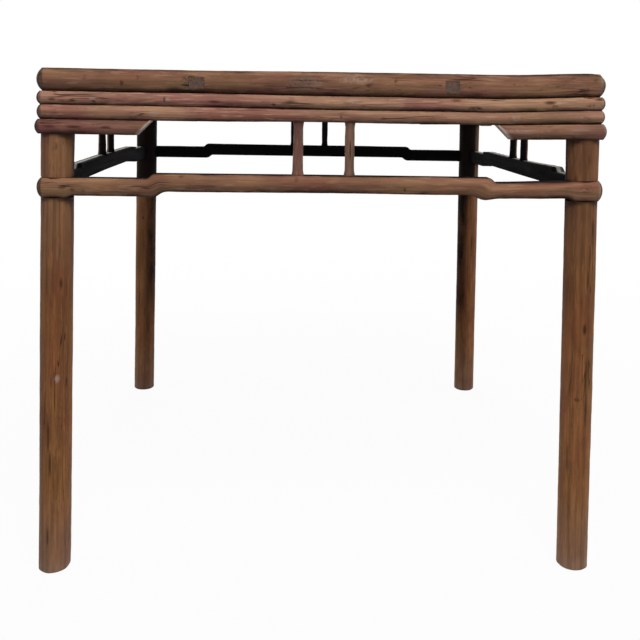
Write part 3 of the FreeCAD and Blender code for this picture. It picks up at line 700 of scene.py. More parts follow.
# Frame rails

TENON_WIDE = 0.024
TENON_LOW = 0.8005
TENON_TOP = 0.819
POCKET_DEEP = 0.006


def mortise_mouths():
    """Where the outer battens' through tenons show on the front rail: left, right, low and top."""
    play = group("wear").seam
    mouths = []
    for number in (1, 3):
        low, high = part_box(f"batten_{number}")
        middle = (low.x + high.x) / 2
        mouths.append((middle - TENON_WIDE / 2 - play, middle + TENON_WIDE / 2 + play,
                       TENON_LOW - play, TENON_TOP + play))
    return mouths


def line_up(bm, band, heights):
    """Moves the nearest lengthwise edges of the round face to the heights of a mortise's mouth."""
    rows = sorted({round(vert.co.z, 5) for vert in bm.verts if -vert.co.y > band.edge})
    for height in heights:
        row = min(rows, key=lambda z: abs(z - height))
        for vert in bm.verts:
            if -vert.co.y > band.edge and abs(vert.co.z - row) < 2e-5:
                vert.co.z = height
                vert.co.y = -band.face_at(height)


def cut_mortises(bm, layers, band, mouths):
    """Opens the round face at each mouth and sinks a pocket behind it."""
    for left, right, low, top in mouths:
        inside = []
        for face in bm.faces:
            middle = face.calc_center_median()
            if left < middle.x < right and low < middle.z < top and -middle.y > band.edge:
                inside.append(face)
        gone = set(inside)
        rim = [edge for edge in bm.edges if not gone.isdisjoint(edge.link_faces)
               and not gone.issuperset(edge.link_faces)]
        bmesh.ops.delete(bm, geom=inside, context="FACES")
        made = bmesh.ops.extrude_edge_only(bm, edges=rim)["geom"]
        verts = [item for item in made if isinstance(item, bmesh.types.BMVert)]
        edges = [item for item in made if isinstance(item, bmesh.types.BMEdge) and item.is_boundary]
        for vert in verts:
            vert.co.y = -band.face + POCKET_DEEP
            vert[layers["dark"]] = 1.0
        bmesh.ops.contextual_create(bm, geom=edges)


def make_rail(side, turns):
    band = rail_band()
    node = f"frame_rail_{side}"
    mouths = mortise_mouths() if turns % 2 == 0 else []
    stops = [-band.reach] + [x for left, right, _, _ in mouths for x in (left, right)] + [band.reach]
    runs = [after - before for before, after in zip(stops, stops[1:])]
    seed = SEEDS["frame_rail"] + turns
    bm, layers = blank_band(band, node, seed, runs, top_bare=True, shade=0.34, brow=0.26)
    if mouths:
        line_up(bm, band, mouths[0][2:])
    wrap_corners(bm, band, (-1, 1))
    cut_mortises(bm, layers, band, mouths)
    finish_band(bm, layers, band, node, "frame_wood", turns)


# Mouldings and aprons

def make_straight_band(kind, side, turns):
    band = moulded_band(f"{kind}_front")
    node = f"{kind}_{side}"
    bm, layers = blank_band(band, node, SEEDS[kind] + turns, [2 * band.reach])
    wrap_corners(bm, band, (-1, 1))
    finish_band(bm, layers, band, node, f"{kind}_wood", turns)


# Spandrels

# One is worn shorter. How bare the cuts are, how far the bareness goes, and where the mitres lie
SPANDREL_SHORT = {"spandrel_front_b": 0.0040}
CUT_SLOPE = Vector((1, 0, -1)).normalized()
CUT_BARE = {"front": 0.78, "right": 0.45, "back": 0.35, "left": 0.45}
CUT_REACH = (0.0015, 0.0050)
MITRE_OUT = 0.4


def cut_slope(bm, layers, band, tip, bare):
    """Cuts the right end to a slope, which is rubbed bare."""
    everything = bm.verts[:] + bm.edges[:] + bm.faces[:]
    bmesh.ops.bisect_plane(bm, geom=everything, dist=1e-6, plane_co=(tip, 0, band.top), plane_no=CUT_SLOPE,
                           clear_outer=True)
    open_edges = [edge for edge in bm.edges if edge.is_boundary]
    for face in bmesh.ops.contextual_create(bm, geom=open_edges)["faces"]:
        for vert in face.verts:
            vert[layers["pale"]] = bare
            vert[layers["lacquer"]] = 0.0
    for vert in bm.verts:
        beside = 1 - fade(tip + vert.co.z - band.top - vert.co.x, *CUT_REACH)
        raise_to(vert, layers["pale"], bare * beside)


def make_spandrel(side, turns, letter):
    """A short band that wraps one leg and ends in a slope; letter b is the mirror of a."""
    node = f"spandrel_{side}_{letter}"
    band = moulded_band("spandrel_front_a")
    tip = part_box("spandrel_front_a")[1].x - SPANDREL_SHORT.get(node, 0.0)
    run = band.reach + tip + FLAT_STEP
    bm, layers = blank_band(band, node, SEEDS["spandrel"] + 2 * turns + (letter == "b"), [run])
    cut_slope(bm, layers, band, tip, CUT_BARE[side])
    wrap_corners(bm, band, (-1,))
    if letter == "b":
        bmesh.ops.scale(bm, vec=(-1, 1, 1), verts=bm.verts[:])
        bmesh.ops.recalc_face_normals(bm, faces=bm.faces[:])
    grey_and_shade_front_end(bm, layers, band, turns)
    for face in caps(bm):
        if abs(face.calc_center_median().x) > MITRE_OUT:
            for vert in face.verts:
                vert[layers["dark"]] = JOINT_DIRT
    weather(bm, layers, band, node, "spandrel_wood", turns)


# Stretchers

# Where a hump starts and ends, how far each bend leans out above, its radius below, how far the heel
# below the left bend hangs, and how much thinner the bar is to the right of the hump
Bends = namedtuple("Bends", "left right lean_left lean_right low_radius heel thin")
BENDS = {
    "front": Bends(-0.2713, 0.2636, 0.50, 0.93, 0.032, 0.0030, 0.0026),
    "right": Bends(-0.2640, 0.2630, 0.45, 0.45, 0.020, 0.0010, 0.0),
    "back": Bends(-0.2620, 0.2700, 0.45, 0.45, 0.012, 0.0, 0.0),
    "left": Bends(-0.2610, 0.2640, 0.45, 0.45, 0.020, 0.0010, 0.0),
}
# How much lower the stretchers hang where they wrap each leg, and where that starts and is full
LOBES = {"front_left": 0.0046, "front_right": 0.0024, "back_right": 0.0030, "back_left": 0.0030}
LOBE_START, LOBE_FULL = 0.399, 0.415
# The radius of the bends' upper arcs
BEND_TOP = 0.010
# The heel's middle before the bend, how far it reaches, and how far down the face it starts and is full
HEEL_BEFORE, HEEL_REACH = 0.012, 0.020
HEEL_DOWN = (0.2, 1.0)
# The run over which the bar gets thinner, and how far down its face a change of the underside starts
THIN_RUN = 0.025
UNDERSIDE = (-0.6, 1.0)
# How pale each stretcher's top is, with dust, bare wood and, where it is full, a painted sheen; and where
# one has a bare patch
DUST_AND_SHEEN = {"front": 0.15, "right": 1.0, "back": 0.1, "left": 1.0}
PATCH = {"right": -0.376}


def hump(into, rise, radius):
    """The lift where two arcs make a bend up to the hump; into counts from the bend's middle."""
    half_run = radius * math.sqrt(1 - (1 - rise / 2 / radius) ** 2)
    if into <= -half_run:
        return 0.0
    if into >= half_run:
        return rise
    part = into + half_run if into < 0 else half_run - into
    sag = radius - math.sqrt(radius ** 2 - part ** 2)
    return sag if into < 0 else rise - sag


def bend_lift(x, up, half, bends, shape):
    """How far a stretcher's point goes up. up is -1 at its underside and 1 at its top."""
    lean = bends.lean_left if x < 0 else bends.lean_right
    into = (x - bends.left if x < 0 else bends.right - x) + lean * half * up
    radius = shape.hump_bend + (BEND_TOP - shape.hump_bend) * clamp(up)
    radius += (bends.low_radius - shape.hump_bend) * clamp(-up)
    heel = bends.heel * (1 - fade(abs(into + HEEL_BEFORE), 0.0, HEEL_REACH))
    heel *= fade(-up, *HEEL_DOWN) * (x < 0)
    thin = bends.thin * fade(x, bends.right, bends.right + THIN_RUN) * fade(-up, *UNDERSIDE)
    thin *= 1 - fade(x, LOBE_START, LOBE_FULL)
    return hump(into, shape.hump_rise, radius) - heel + thin


def lobe_drop(x, up, turns):
    """How much lower the underside hangs near the leg at this end."""
    corner = CORNERS[turns] if x < 0 else CORNERS[(turns + 1) % 4]
    return LOBES[corner] * (fade(abs(x), LOBE_START, LOBE_FULL) * fade(-up, *UNDERSIDE))


def make_stretcher(side, turns):
    shape = group("shape")
    node = f"stretcher_{side}"
    band = bar_band()
    bm, layers = blank_band(band, node, SEEDS["stretcher"] + turns, [2 * band.reach], dusty=DUST_AND_SHEEN[side],
                            patch=PATCH.get(side, 0.0), shade=0.25)
    for vert in bm.verts:
        x, _, z = vert.co
        up = clamp((z - band.middle) / band.half, -1.0)
        vert.co.z += bend_lift(x, up, band.half, BENDS[side], shape) - lobe_drop(x, up, turns)
    wrap_corners(bm, band, (-1, 1))
    finish_band(bm, layers, band, node, "stretcher_wood", turns)


# Legs

LEG_SIDES = 96
LEG_STEP = 0.004
LEG_EDGE = 0.0016
# A step across a piece, as at a notch or a tenon, takes up this much of its length
SHOULDER = 0.00002
# A leg's marks lie where its normal's Y is under this
FACING = -0.15
SOLE_DIRT = 0.3
# Painted shade that darkens the upper part of each leg towards the table's underside, pale dust on the outer
# side of that part, and the heights where they set in and are full
HEAD_DARK = {"front_left": 0.25, "front_right": 0.32, "back_right": 0.10, "back_left": 0.20}
HEAD_PALE = {"front_left": 0.10, "front_right": 0.05, "back_right": 0.16, "back_left": 0.10}
HEAD_SHADE_UP = (0.05, 0.70)
DUST_UP = (0.42, 0.64)
OUTSIDE = (0.3, 0.6)
# The front left leg is darker on its left: painted shade on the side turned from the light
LEFT_SHADE, LEFT_ROUND = 0.20, (0.05, 0.75)
# Painted shadow under the notches, and how much further down it goes at the sides
EAVE_REACH, EAVE_SIDES = (0.0020, 0.0055), 0.016
# Pale wood at the foot: how much of it, from the floor up and above that
SOLE_PALE, SOLE_UP = 0.14, (0.0, 0.035)
FOOT_PALE, FOOT_UP = 0.12, (0.03, 0.16)
# Black lacquer: how far round it sets in and is full, where 1 is the innermost line, and how far above
# the stretchers' underside; the back legs have some further down too. On the back legs the black is
# partly painted shade, and it reaches round to their outer sides above the stretchers
FRONT_ROUND, FRONT_ABOVE = (0.42, 0.90), (-0.07, 0.01)
BACK_ROUND = {"back_left": (-1.1, 0.0), "back_right": (0.15, 0.72)}
BACK_BLACK = {"back_left": (0.0, 1.0), "back_right": (0.34, 0.62)}
BACK_ABOVE = (-0.13, -0.03)
LOW_BLACK, LOW_ROUND, LOW_UP = 0.50, (0.50, 1.35), (0.03, 0.30)
# How each foot is worn: the way that the wear goes, its slope, and the chip at its far edge
FEET = {
    "front_left": (0.20, 0.055, 0.0025),
    "front_right": (3.40, 0.004, 0.0002),
    "back_right": (0.60, 0.05, 0.0015),
    "back_left": (2.80, 0.01, 0.0006),
}
# How far up the wear goes, where its slope starts and where the chip does, from the foot's middle
FOOT_TALL = 0.03
SLOPE_START = -0.010
CHIP_REACH = (0.019, 0.027)


def leg_radius(shape, z, middle, top):
    """Half the leg's thickness at a height: it grows from foot to stretchers and on to the head."""
    if z < middle:
        low, high, start, end = shape.leg_foot, shape.leg_waist, 0, middle
    else:
        low, high, start, end = shape.leg_waist, shape.leg_head, middle, top
    return (low + (high - low) * (z - start) / (end - start)) / 2


def leg_lacquer_and_shade(corner, inward, sideways, z, up):
    """The legs' inner sides are black with lacquer above the stretchers; on the back legs the black is
    partly painted shade and reaches further round and down. up counts from those bars' underside.
    """
    if corner.startswith("front"):
        return fade(inward, *FRONT_ROUND) * fade(up, *FRONT_ABOVE)
    below = LOW_BLACK * fade(inward + sideways / 2, *LOW_ROUND) * (0.15 + 0.85 * fade(z, *LOW_UP))
    least, more = BACK_BLACK[corner]
    above = least + more * fade(inward, *BACK_ROUND[corner])
    return below + (above - below) * fade(up, *BACK_ABOVE)


def paint_leg(vert, layers, corner, turns, bar_low, eaves):
    """Paints a point of the straight leg of radius 1; eaves are the undersides that a painted shadow lies
    under.
    """
    x, y, z = vert.co
    inward = (x + y) / math.sqrt(2)
    sideways = y if turns % 2 else x
    # Painted shade: each leg darkens towards the table's underside
    dark = HEAD_DARK[corner] * fade(z, *HEAD_SHADE_UP)
    # Painted shade on the front left leg's side turned from the light
    if corner == "front_left":
        dark += LEFT_SHADE * fade(-x, *LEFT_ROUND)
    # Painted shadow under each eave, deeper at the sides
    near, far = EAVE_REACH
    for eave in eaves:
        below = eave - z if z < eave + SHOULDER else 1.0
        dark = max(dark, 1 - fade(below, near, far + EAVE_SIDES * sideways ** 2))
    pale = SOLE_PALE * (1 - fade(z, *SOLE_UP)) + FOOT_PALE * (1 - fade(z, *FOOT_UP))
    pale += HEAD_PALE[corner] * fade(z, *DUST_UP) * (1 - fade(inward, *OUTSIDE))
    vert[layers["crown"]] = 1.0
    vert[layers["lacquer"]] = leg_lacquer_and_shade(corner, inward, sideways, z, z - bar_low)
    vert[layers["dark"]] = dark
    vert[layers["pale"]] = pale
    vert[layers["tone"]] = TONES.get(f"leg_{corner}", 0.0)


def make_leg(corner, turns):
    """A leaning, tapering round leg, cut to its square core where bars and mouldings wrap it."""
    shape = group("shape")
    node = f"leg_{corner}"
    face = -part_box("frame_rail_front")[0].y
    bar = bar_band()
    head_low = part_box("spandrel_front_a")[0].z
    head_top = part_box("frame_rail_front")[0].z
    lobe_low = bar.low - LOBES[corner]
    collars = ((lobe_low, bar.top), (head_low, head_top))
    bm = bmesh.new()
    bmesh.ops.create_circle(bm, cap_ends=True, radius=1, segments=LEG_SIDES)
    runs = [lobe_low, SHOULDER, bar.top - lobe_low - 2 * SHOULDER, SHOULDER, head_low - bar.top, SHOULDER,
            head_top - head_low - SHOULDER]
    sweep(bm, UP, runs, LEG_STEP)
    layers = add_layers(bm)
    for vert in bm.verts:
        x, y, z = vert.co
        radius = leg_radius(shape, z, bar.middle, head_top)
        wrapped = any(below + SHOULDER / 2 < z < above - SHOULDER / 2 for below, above in collars)
        if wrapped and min(x, y) < -1e-4:
            radius = min(radius, shape.leg_core / 2 / max(abs(x), abs(y)))
        paint_leg(vert, layers, corner, turns, bar.low, (lobe_low, head_low))
        vert[layers["grain"]] = Vector((z, radius * x, radius * y)) + tree(SEEDS["leg"] + turns)
        axis = shape.leg_inset - face - shape.leg_lean * (head_low - z)
        vert.co = (axis + radius * x, axis + radius * y, z)
    wear_foot(bm, corner, turns)
    soil_ends(bm, layers, SOLE_DIRT)
    rub_ends(bm, LEG_EDGE)
    roughen(bm, layers)
    for vert in bm.verts:
        vert.co.z = max(vert.co.z, 0.0)
    turn_round(bm, turns)
    stamp_leg(bm, layers, MARKS.get(node, ()))
    finish_piece(bm, node, "leg_wood")


def wear_foot(bm, corner, turns):
    """Wears the foot askew: it is raised more the further it lies one way."""
    heading, slant, chip = FEET[corner]
    middle = sum((vert.co for vert in bm.verts if vert.co.z < 1e-5), Vector()) / LEG_SIDES
    turned = heading - turns * math.pi / 2
    way = Vector((math.cos(turned), math.sin(turned), 0))
    for vert in bm.verts:
        if vert.co.z > FOOT_TALL:
            continue
        off = (vert.co - middle).dot(way)
        lift = slant * max(0.0, off - SLOPE_START) + chip * fade(off, *CHIP_REACH)
        vert.co.z += lift * (1 - vert.co.z / FOOT_TALL)


def stamp_leg(bm, layers, marks):
    """Stamps a leg's marks on the side that faces the front; only there does it keep its crown for that."""
    if not marks:
        return
    bm.normal_update()
    for vert in bm.verts:
        vert[layers["crown"]] = 1.0 if vert.normal.y < FACING else 0.0
    stamp(bm, layers, marks, 0.0)
    for vert in bm.verts:
        vert[layers["crown"]] = 1.0


# Struts

STRUT_SIDES = 28
STRUT_STEP = 0.0026
# How far a strut goes into the bars above and below it, how uneven it is and how far it is bowed
STRUT_SUNK = 0.003
STRUT_UNEVEN = 0.0009
STRUT_BOWED = 0.0008
STRUT_END = (-0.002, 0.004)
STRUT_LACQUER = 0.95
# How pale the rubbed places on a strut's sides are, and how far out they set in
STRUT_PALE, STRUT_SIDE = 0.5, (0.005, 0.0075)
# Where the black lacquer starts and is full, counted back from a strut's axis
FRONT_LACQUER = (0.001, 0.006)
SIDE_LACQUER = (-0.0065, -0.001)


def make_strut(side, turns, letter):
    """A turned post between the stretcher's hump and the apron, a little swollen at its ends."""
    shape = group("shape")
    node = f"strut_{side}_{letter}"
    low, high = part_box(f"strut_front_{letter}")
    axis = (low + high) / 2
    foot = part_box("stretcher_front")[1].z - STRUT_SUNK
    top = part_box("apron_front")[0].z + STRUT_SUNK
    bm = bmesh.new()
    tip = bm.verts.new((axis.x, axis.y, foot))
    tip = straight(bm, tip, ALONG_X * shape.strut_thick / 2, 1)
    tip = straight(bm, tip, UP * (top - foot), round((top - foot) / STRUT_STEP))
    straight(bm, tip, -ALONG_X * shape.strut_thick / 2, 1)
    bmesh.ops.spin(bm, geom=bm.verts[:] + bm.edges[:], cent=axis, axis=UP, dvec=IN_PLACE,
                   angle=2 * math.pi, steps=STRUT_SIDES, use_merge=True)
    bmesh.ops.remove_doubles(bm, verts=bm.verts[:], dist=1e-6)
    bmesh.ops.recalc_face_normals(bm, faces=bm.faces[:])
    put_in_order(bm)
    layers = add_layers(bm)
    seed = SEEDS["strut"] + 2 * turns + (letter == "b")
    lacquered = FRONT_LACQUER if side == "front" else SIDE_LACQUER
    note_grain(bm, layers, seed, axis="z")
    for vert in bm.verts:
        z = vert.co.z
        near_end = min(z - foot, top - z) - STRUT_SUNK
        flare = shape.strut_swell * (1 - fade(near_end, 0, shape.strut_swell_tall))
        hand = STRUT_UNEVEN * noise.noise(Vector((seed, z * 24, 0.5)))
        out = Vector((vert.co.x - axis.x, vert.co.y - axis.y, 0))
        if out.length > 1e-5:
            vert.co += out.normalized() * (flare + hand)
        vert.co.x += STRUT_BOWED * noise.noise(Vector((seed + 3.3, z * 12, 0.2)))
        rubbed = fade(noise.noise(Vector((seed, z * 60, 2.0))), -0.2, 0.3)
        vert[layers["crown"]] = fade(near_end, *STRUT_END)
        vert[layers["lacquer"]] = STRUT_LACQUER * fade(out.y, *lacquered)
        vert[layers["pale"]] = STRUT_PALE * fade(abs(out.x), *STRUT_SIDE) * rubbed
    roughen(bm, layers)
    finish_piece(bm, node, "strut_wood", turns)


# The top's boards

BOARDS = 4
BOARD_STEP = 0.0036
BOARD_CUP = 0.0004
BOARD_TOP = 0.002
# Half the gap between two boards, and the gap between them and the frame
BOARD_SEAM = 0.0002
PANEL_GAP = 0.0006
# Dirt beside the seams and along the frame
SEAM_DIRT, SEAM_REACH = 0.85, 0.0028
RIM_DIRT, RIM_REACH = 0.55, 0.012
# Places, radii and strengths of the rings that hot bowls left
RING_REACH = (0.001, 0.005)
RINGS = (
    (-0.145, -0.215, 0.043, 0.14),
    (0.190, -0.095, 0.039, 0.12),
    (0.085, 0.205, 0.045, 0.13),
    (-0.235, 0.120, 0.036, 0.10),
)


def make_board(number):
    """One board of the top, with rubbed edges, a little cupped; number counts from the front."""
    node = f"panel_board_{number}"
    low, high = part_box(node)
    rail_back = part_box("frame_rail_front")[1].y
    reach = -rail_back - PANEL_GAP
    wide = 2 * reach / BOARDS
    front = -reach + (number - 1) * wide + BOARD_SEAM
    wide -= 2 * BOARD_SEAM
    tall = high.z - low.z
    bm = bmesh.new()
    tip = bm.verts.new((-reach, front, high.z))
    tip = straight(bm, tip, ALONG_Y * wide, round(wide / BOARD_STEP))
    tip = straight(bm, tip, -UP * tall, 3)
    tip = straight(bm, tip, -ALONG_Y * wide, round(wide / BOARD_STEP / 3))
    straight(bm, tip, UP * tall, 3)
    close_outline(bm)
    sweep(bm, ALONG_X, [2 * reach], BOARD_STEP)
    layers = add_layers(bm)
    note_grain(bm, layers, SEEDS["panel_board"] + number)
    corners = [edge for edge in bm.edges if edge.calc_face_angle(0) > 0.5
               and all(vert.co.z > high.z - 1e-5 for vert in edge.verts)]
    rub_edges(bm, corners, group("wear").board_edge, segments=2)
    for vert in bm.verts:
        x, y, z = vert.co
        part = (y - front) / wide
        on_top = z > high.z - BOARD_TOP
        vert[layers["crown"]] = 0.75 if on_top else 0.5
        vert[layers["lacquer"]] = 0.0 if on_top else 0.9
        joint = min(part, 1 - part) * wide
        vert[layers["dark"]] = SEAM_DIRT * (1 - fade(joint, 0.0, SEAM_REACH)) if on_top else 0.0
        rim = min(reach - abs(x), reach - abs(y))
        raise_to(vert, layers["dark"], RIM_DIRT * (1 - fade(rim, 0.0, RIM_REACH)))
        if on_top:
            vert.co.z -= BOARD_CUP * 4 * part * (1 - part)
            stain_rings(vert, layers)
    roughen(bm, layers)
    finish_piece(bm, node, "panel_wood")


def stain_rings(vert, layers):
    """Rings that hot bowls left on the top."""
    for x, y, radius, strength in RINGS:
        off = abs(math.hypot(vert.co.x - x, vert.co.y - y) - radius)
        ring = strength * (1 - fade(off, *RING_REACH))
        raise_to(vert, layers["pale"], ring)


# Battens

BATTEN_STEP = 0.006
BATTEN_CELLS = 8
BATTEN_EDGE = 0.0018
TENON_SUNK = 0.0002
BATTEN_CROWN, BATTEN_LACQUER = 0.8, 0.75
TENON_TONE, TENON_PALE = -0.2, 0.10


def make_batten(number):
    """A batten under the boards, with a tenon at each end that runs into the frame."""
    rail = rail_band()
    node = f"batten_{number}"
    low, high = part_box(node)
    boards_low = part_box("panel_board_1")[0].z
    middle, half_wide = (low.x + high.x) / 2, (high.x - low.x) / 2
    tall = boards_low - low.z
    through = number != 2
    reach = rail.face if through else high.y
    bm = bmesh.new()
    tip = bm.verts.new((middle - half_wide, -reach, low.z))
    tip = straight(bm, tip, UP * tall, BATTEN_CELLS)
    tip = straight(bm, tip, ALONG_X * 2 * half_wide, BATTEN_CELLS)
    tip = straight(bm, tip, -UP * tall, BATTEN_CELLS)
    straight(bm, tip, -ALONG_X * 2 * half_wide, BATTEN_CELLS)
    close_outline(bm)
    tenon = reach - rail.back
    sweep(bm, ALONG_Y, [tenon, SHOULDER, 2 * (rail.back - SHOULDER), SHOULDER, tenon], BATTEN_STEP)
    layers = add_layers(bm)
    note_grain(bm, layers, SEEDS["batten"] + number, axis="y")
    for vert in bm.verts:
        x, y, z = vert.co
        vert[layers["lacquer"]] = BATTEN_LACQUER
        vert[layers["crown"]] = BATTEN_CROWN
        if abs(y) > rail.back - SHOULDER / 2:
            across = (x - middle) / half_wide
            upright = (z - low.z) / tall
            vert.co.x = middle + across * TENON_WIDE / 2
            vert.co.z = TENON_LOW + upright * (TENON_TOP - TENON_LOW)
            vert[layers["lacquer"]] = 0.0
            vert[layers["tone"]] = TENON_TONE
            vert[layers["pale"]] = TENON_PALE
        if through and abs(y) > reach - 1e-5:
            vert.co.y = math.copysign(rail.face_at(vert.co.z) - TENON_SUNK, y)
    edges = [edge for edge in bm.edges if edge.calc_face_angle(0) > 1.2
             and all(abs(vert.co.y) < rail.back - SHOULDER / 2 for vert in edge.verts)
             and edge.verts[0].co.z < boards_low - 0.001]
    rub_edges(bm, edges, BATTEN_EDGE, segments=2)
    roughen(bm, layers, hold=lambda vert: 1.0 if abs(vert.co.y) > rail.back - 0.002 else 0.0)
    finish_piece(bm, node, "batten_wood")


# Paint

def linear(colour):
    return (*Color(colour).from_srgb_to_scene_linear(), 1.0)


def tinted(colour, red, green, blue):
    return (colour[0] * red, colour[1] * green, colour[2] * blue, 1.0)


class Paintbox:
    """Adds nodes to a new material or world and joins them."""

    def __init__(self, owner):
        owner.use_nodes = True
        self.nodes = owner.node_tree.nodes
        self.links = owner.node_tree.links
        self.nodes.clear()

    def add(self, kind, inputs, **settings):
        node = self.nodes.new(kind)
        for name, setting in settings.items():
            setattr(node, name, setting)
        for socket, given in inputs.items():
            if isinstance(given, bpy.types.NodeSocket):
                self.links.new(given, node.inputs[socket])
            else:
                node.inputs[socket].default_value = given
        return node

    def attribute(self, name, output="Fac"):
        return self.add("ShaderNodeAttribute", {}, attribute_name=name).outputs[output]

    def stretched(self, where, scale):
        return self.add("ShaderNodeMapping", {"Vector": where, "Scale": scale}).outputs[0]

    def noise(self, where, scale, detail=3.0, rough=0.55, twist=0.0, output="Fac"):
        inputs = {"Vector": self.stretched(where, scale), "Scale": 1.0, "Detail": detail,
                  "Roughness": rough, "Distortion": twist}
        return self.add("ShaderNodeTexNoise", inputs).outputs[output]

    def math(self, operation, first, second=0.0, third=0.0):
        return self.add("ShaderNodeMath", {0: first, 1: second, 2: third}, operation=operation).outputs[0]

    def between(self, number, low, high, start=0.0, end=1.0):
        """Start below low, end above high, and straight between them."""
        inputs = {"Value": number, "From Min": low, "From Max": high, "To Min": start, "To Max": end}
        return self.add("ShaderNodeMapRange", inputs).outputs[0]

    def vary(self, number, even, low, high):
        """Turns a noise round 0.5 into low to high; the more even, the more of it is in between."""
        return self.between(number, 0.5 - even, 0.5 + even, low, high)

    def mix(self, amount, first, second, blend="MIX"):
        inputs = {0: amount, 1: first, 2: second}
        return self.add("ShaderNodeMixRGB", inputs, blend_type=blend).outputs[0]

    def grey(self, number):
        return self.add("ShaderNodeCombineColor", {0: number, 1: number, 2: number}).outputs[0]


# A pale grey painted sheen that stands for the glint of the polished stretcher tops
POLISHED_SHEEN = (0.86, 0.84, 0.80)
# How even the wood looks: the legs and struts are streakier
EVEN, EVEN_OF_SLOT = 0.20, {"leg_wood": 0.125, "strut_wood": 0.15}
# How fine each noise is, along the grain and across it
SWAY, SWAY_FAR = (6, 20, 20), (0.01, 0.006, 0.006)
FIBRES = (16, 520, 520)
STREAKS = (3.4, 120, 120)
BROAD = (2.4, 34, 34)
BLOTCHES = (13, 34, 34)
HUE = (5.5, 22, 22)
STROKES = (24, 300, 300)
FLECKS = (75, 300, 300)
VEINS = (4.5, 115, 115)
CRACKED = (9, 40, 40)
KNOTS = (13, 40, 40)


def sway_grain(box, grain):
    """The grain sways a little as it runs along."""
    sway = box.noise(grain, SWAY, detail=2, output="Color")
    sway = box.add("ShaderNodeVectorMath", {0: sway, 1: (0.5, 0.5, 0.5)}, operation="SUBTRACT").outputs[0]
    inputs = {0: sway, 1: SWAY_FAR, 2: grain}
    return box.add("ShaderNodeVectorMath", inputs, operation="MULTIPLY_ADD").outputs[0]


def find_cracks(box, grain, swayed):
    """Thin cracks along the grain, in some places only."""
    veins = box.noise(swayed, VEINS, detail=1)
    veins = box.math("ABSOLUTE", box.math("SUBTRACT", veins, 0.5))
    cracked = box.noise(grain, CRACKED, detail=2)
    return box.math("MULTIPLY", box.between(veins, 0.004, 0.018, 1.0, 0.0), box.between(cracked, 0.54, 0.62))


def find_knots(box, swayed):
    """Knots in a few of the cells of a grid, and the halo round each."""
    cells = box.add("ShaderNodeTexVoronoi", {"Vector": box.stretched(swayed, KNOTS), "Scale": 1.0})
    draw = box.add("ShaderNodeSeparateColor", {0: cells.outputs["Color"]}).outputs[0]
    chosen = box.between(draw, 0.80, 0.82)
    off = cells.outputs["Distance"]
    knots = box.math("MULTIPLY", box.between(off, 0.06, 0.17, 1.0, 0.0), chosen)
    halo = box.math("MULTIPLY", box.between(off, 0.12, 0.42, 1.0, 0.0), chosen)
    return knots, halo


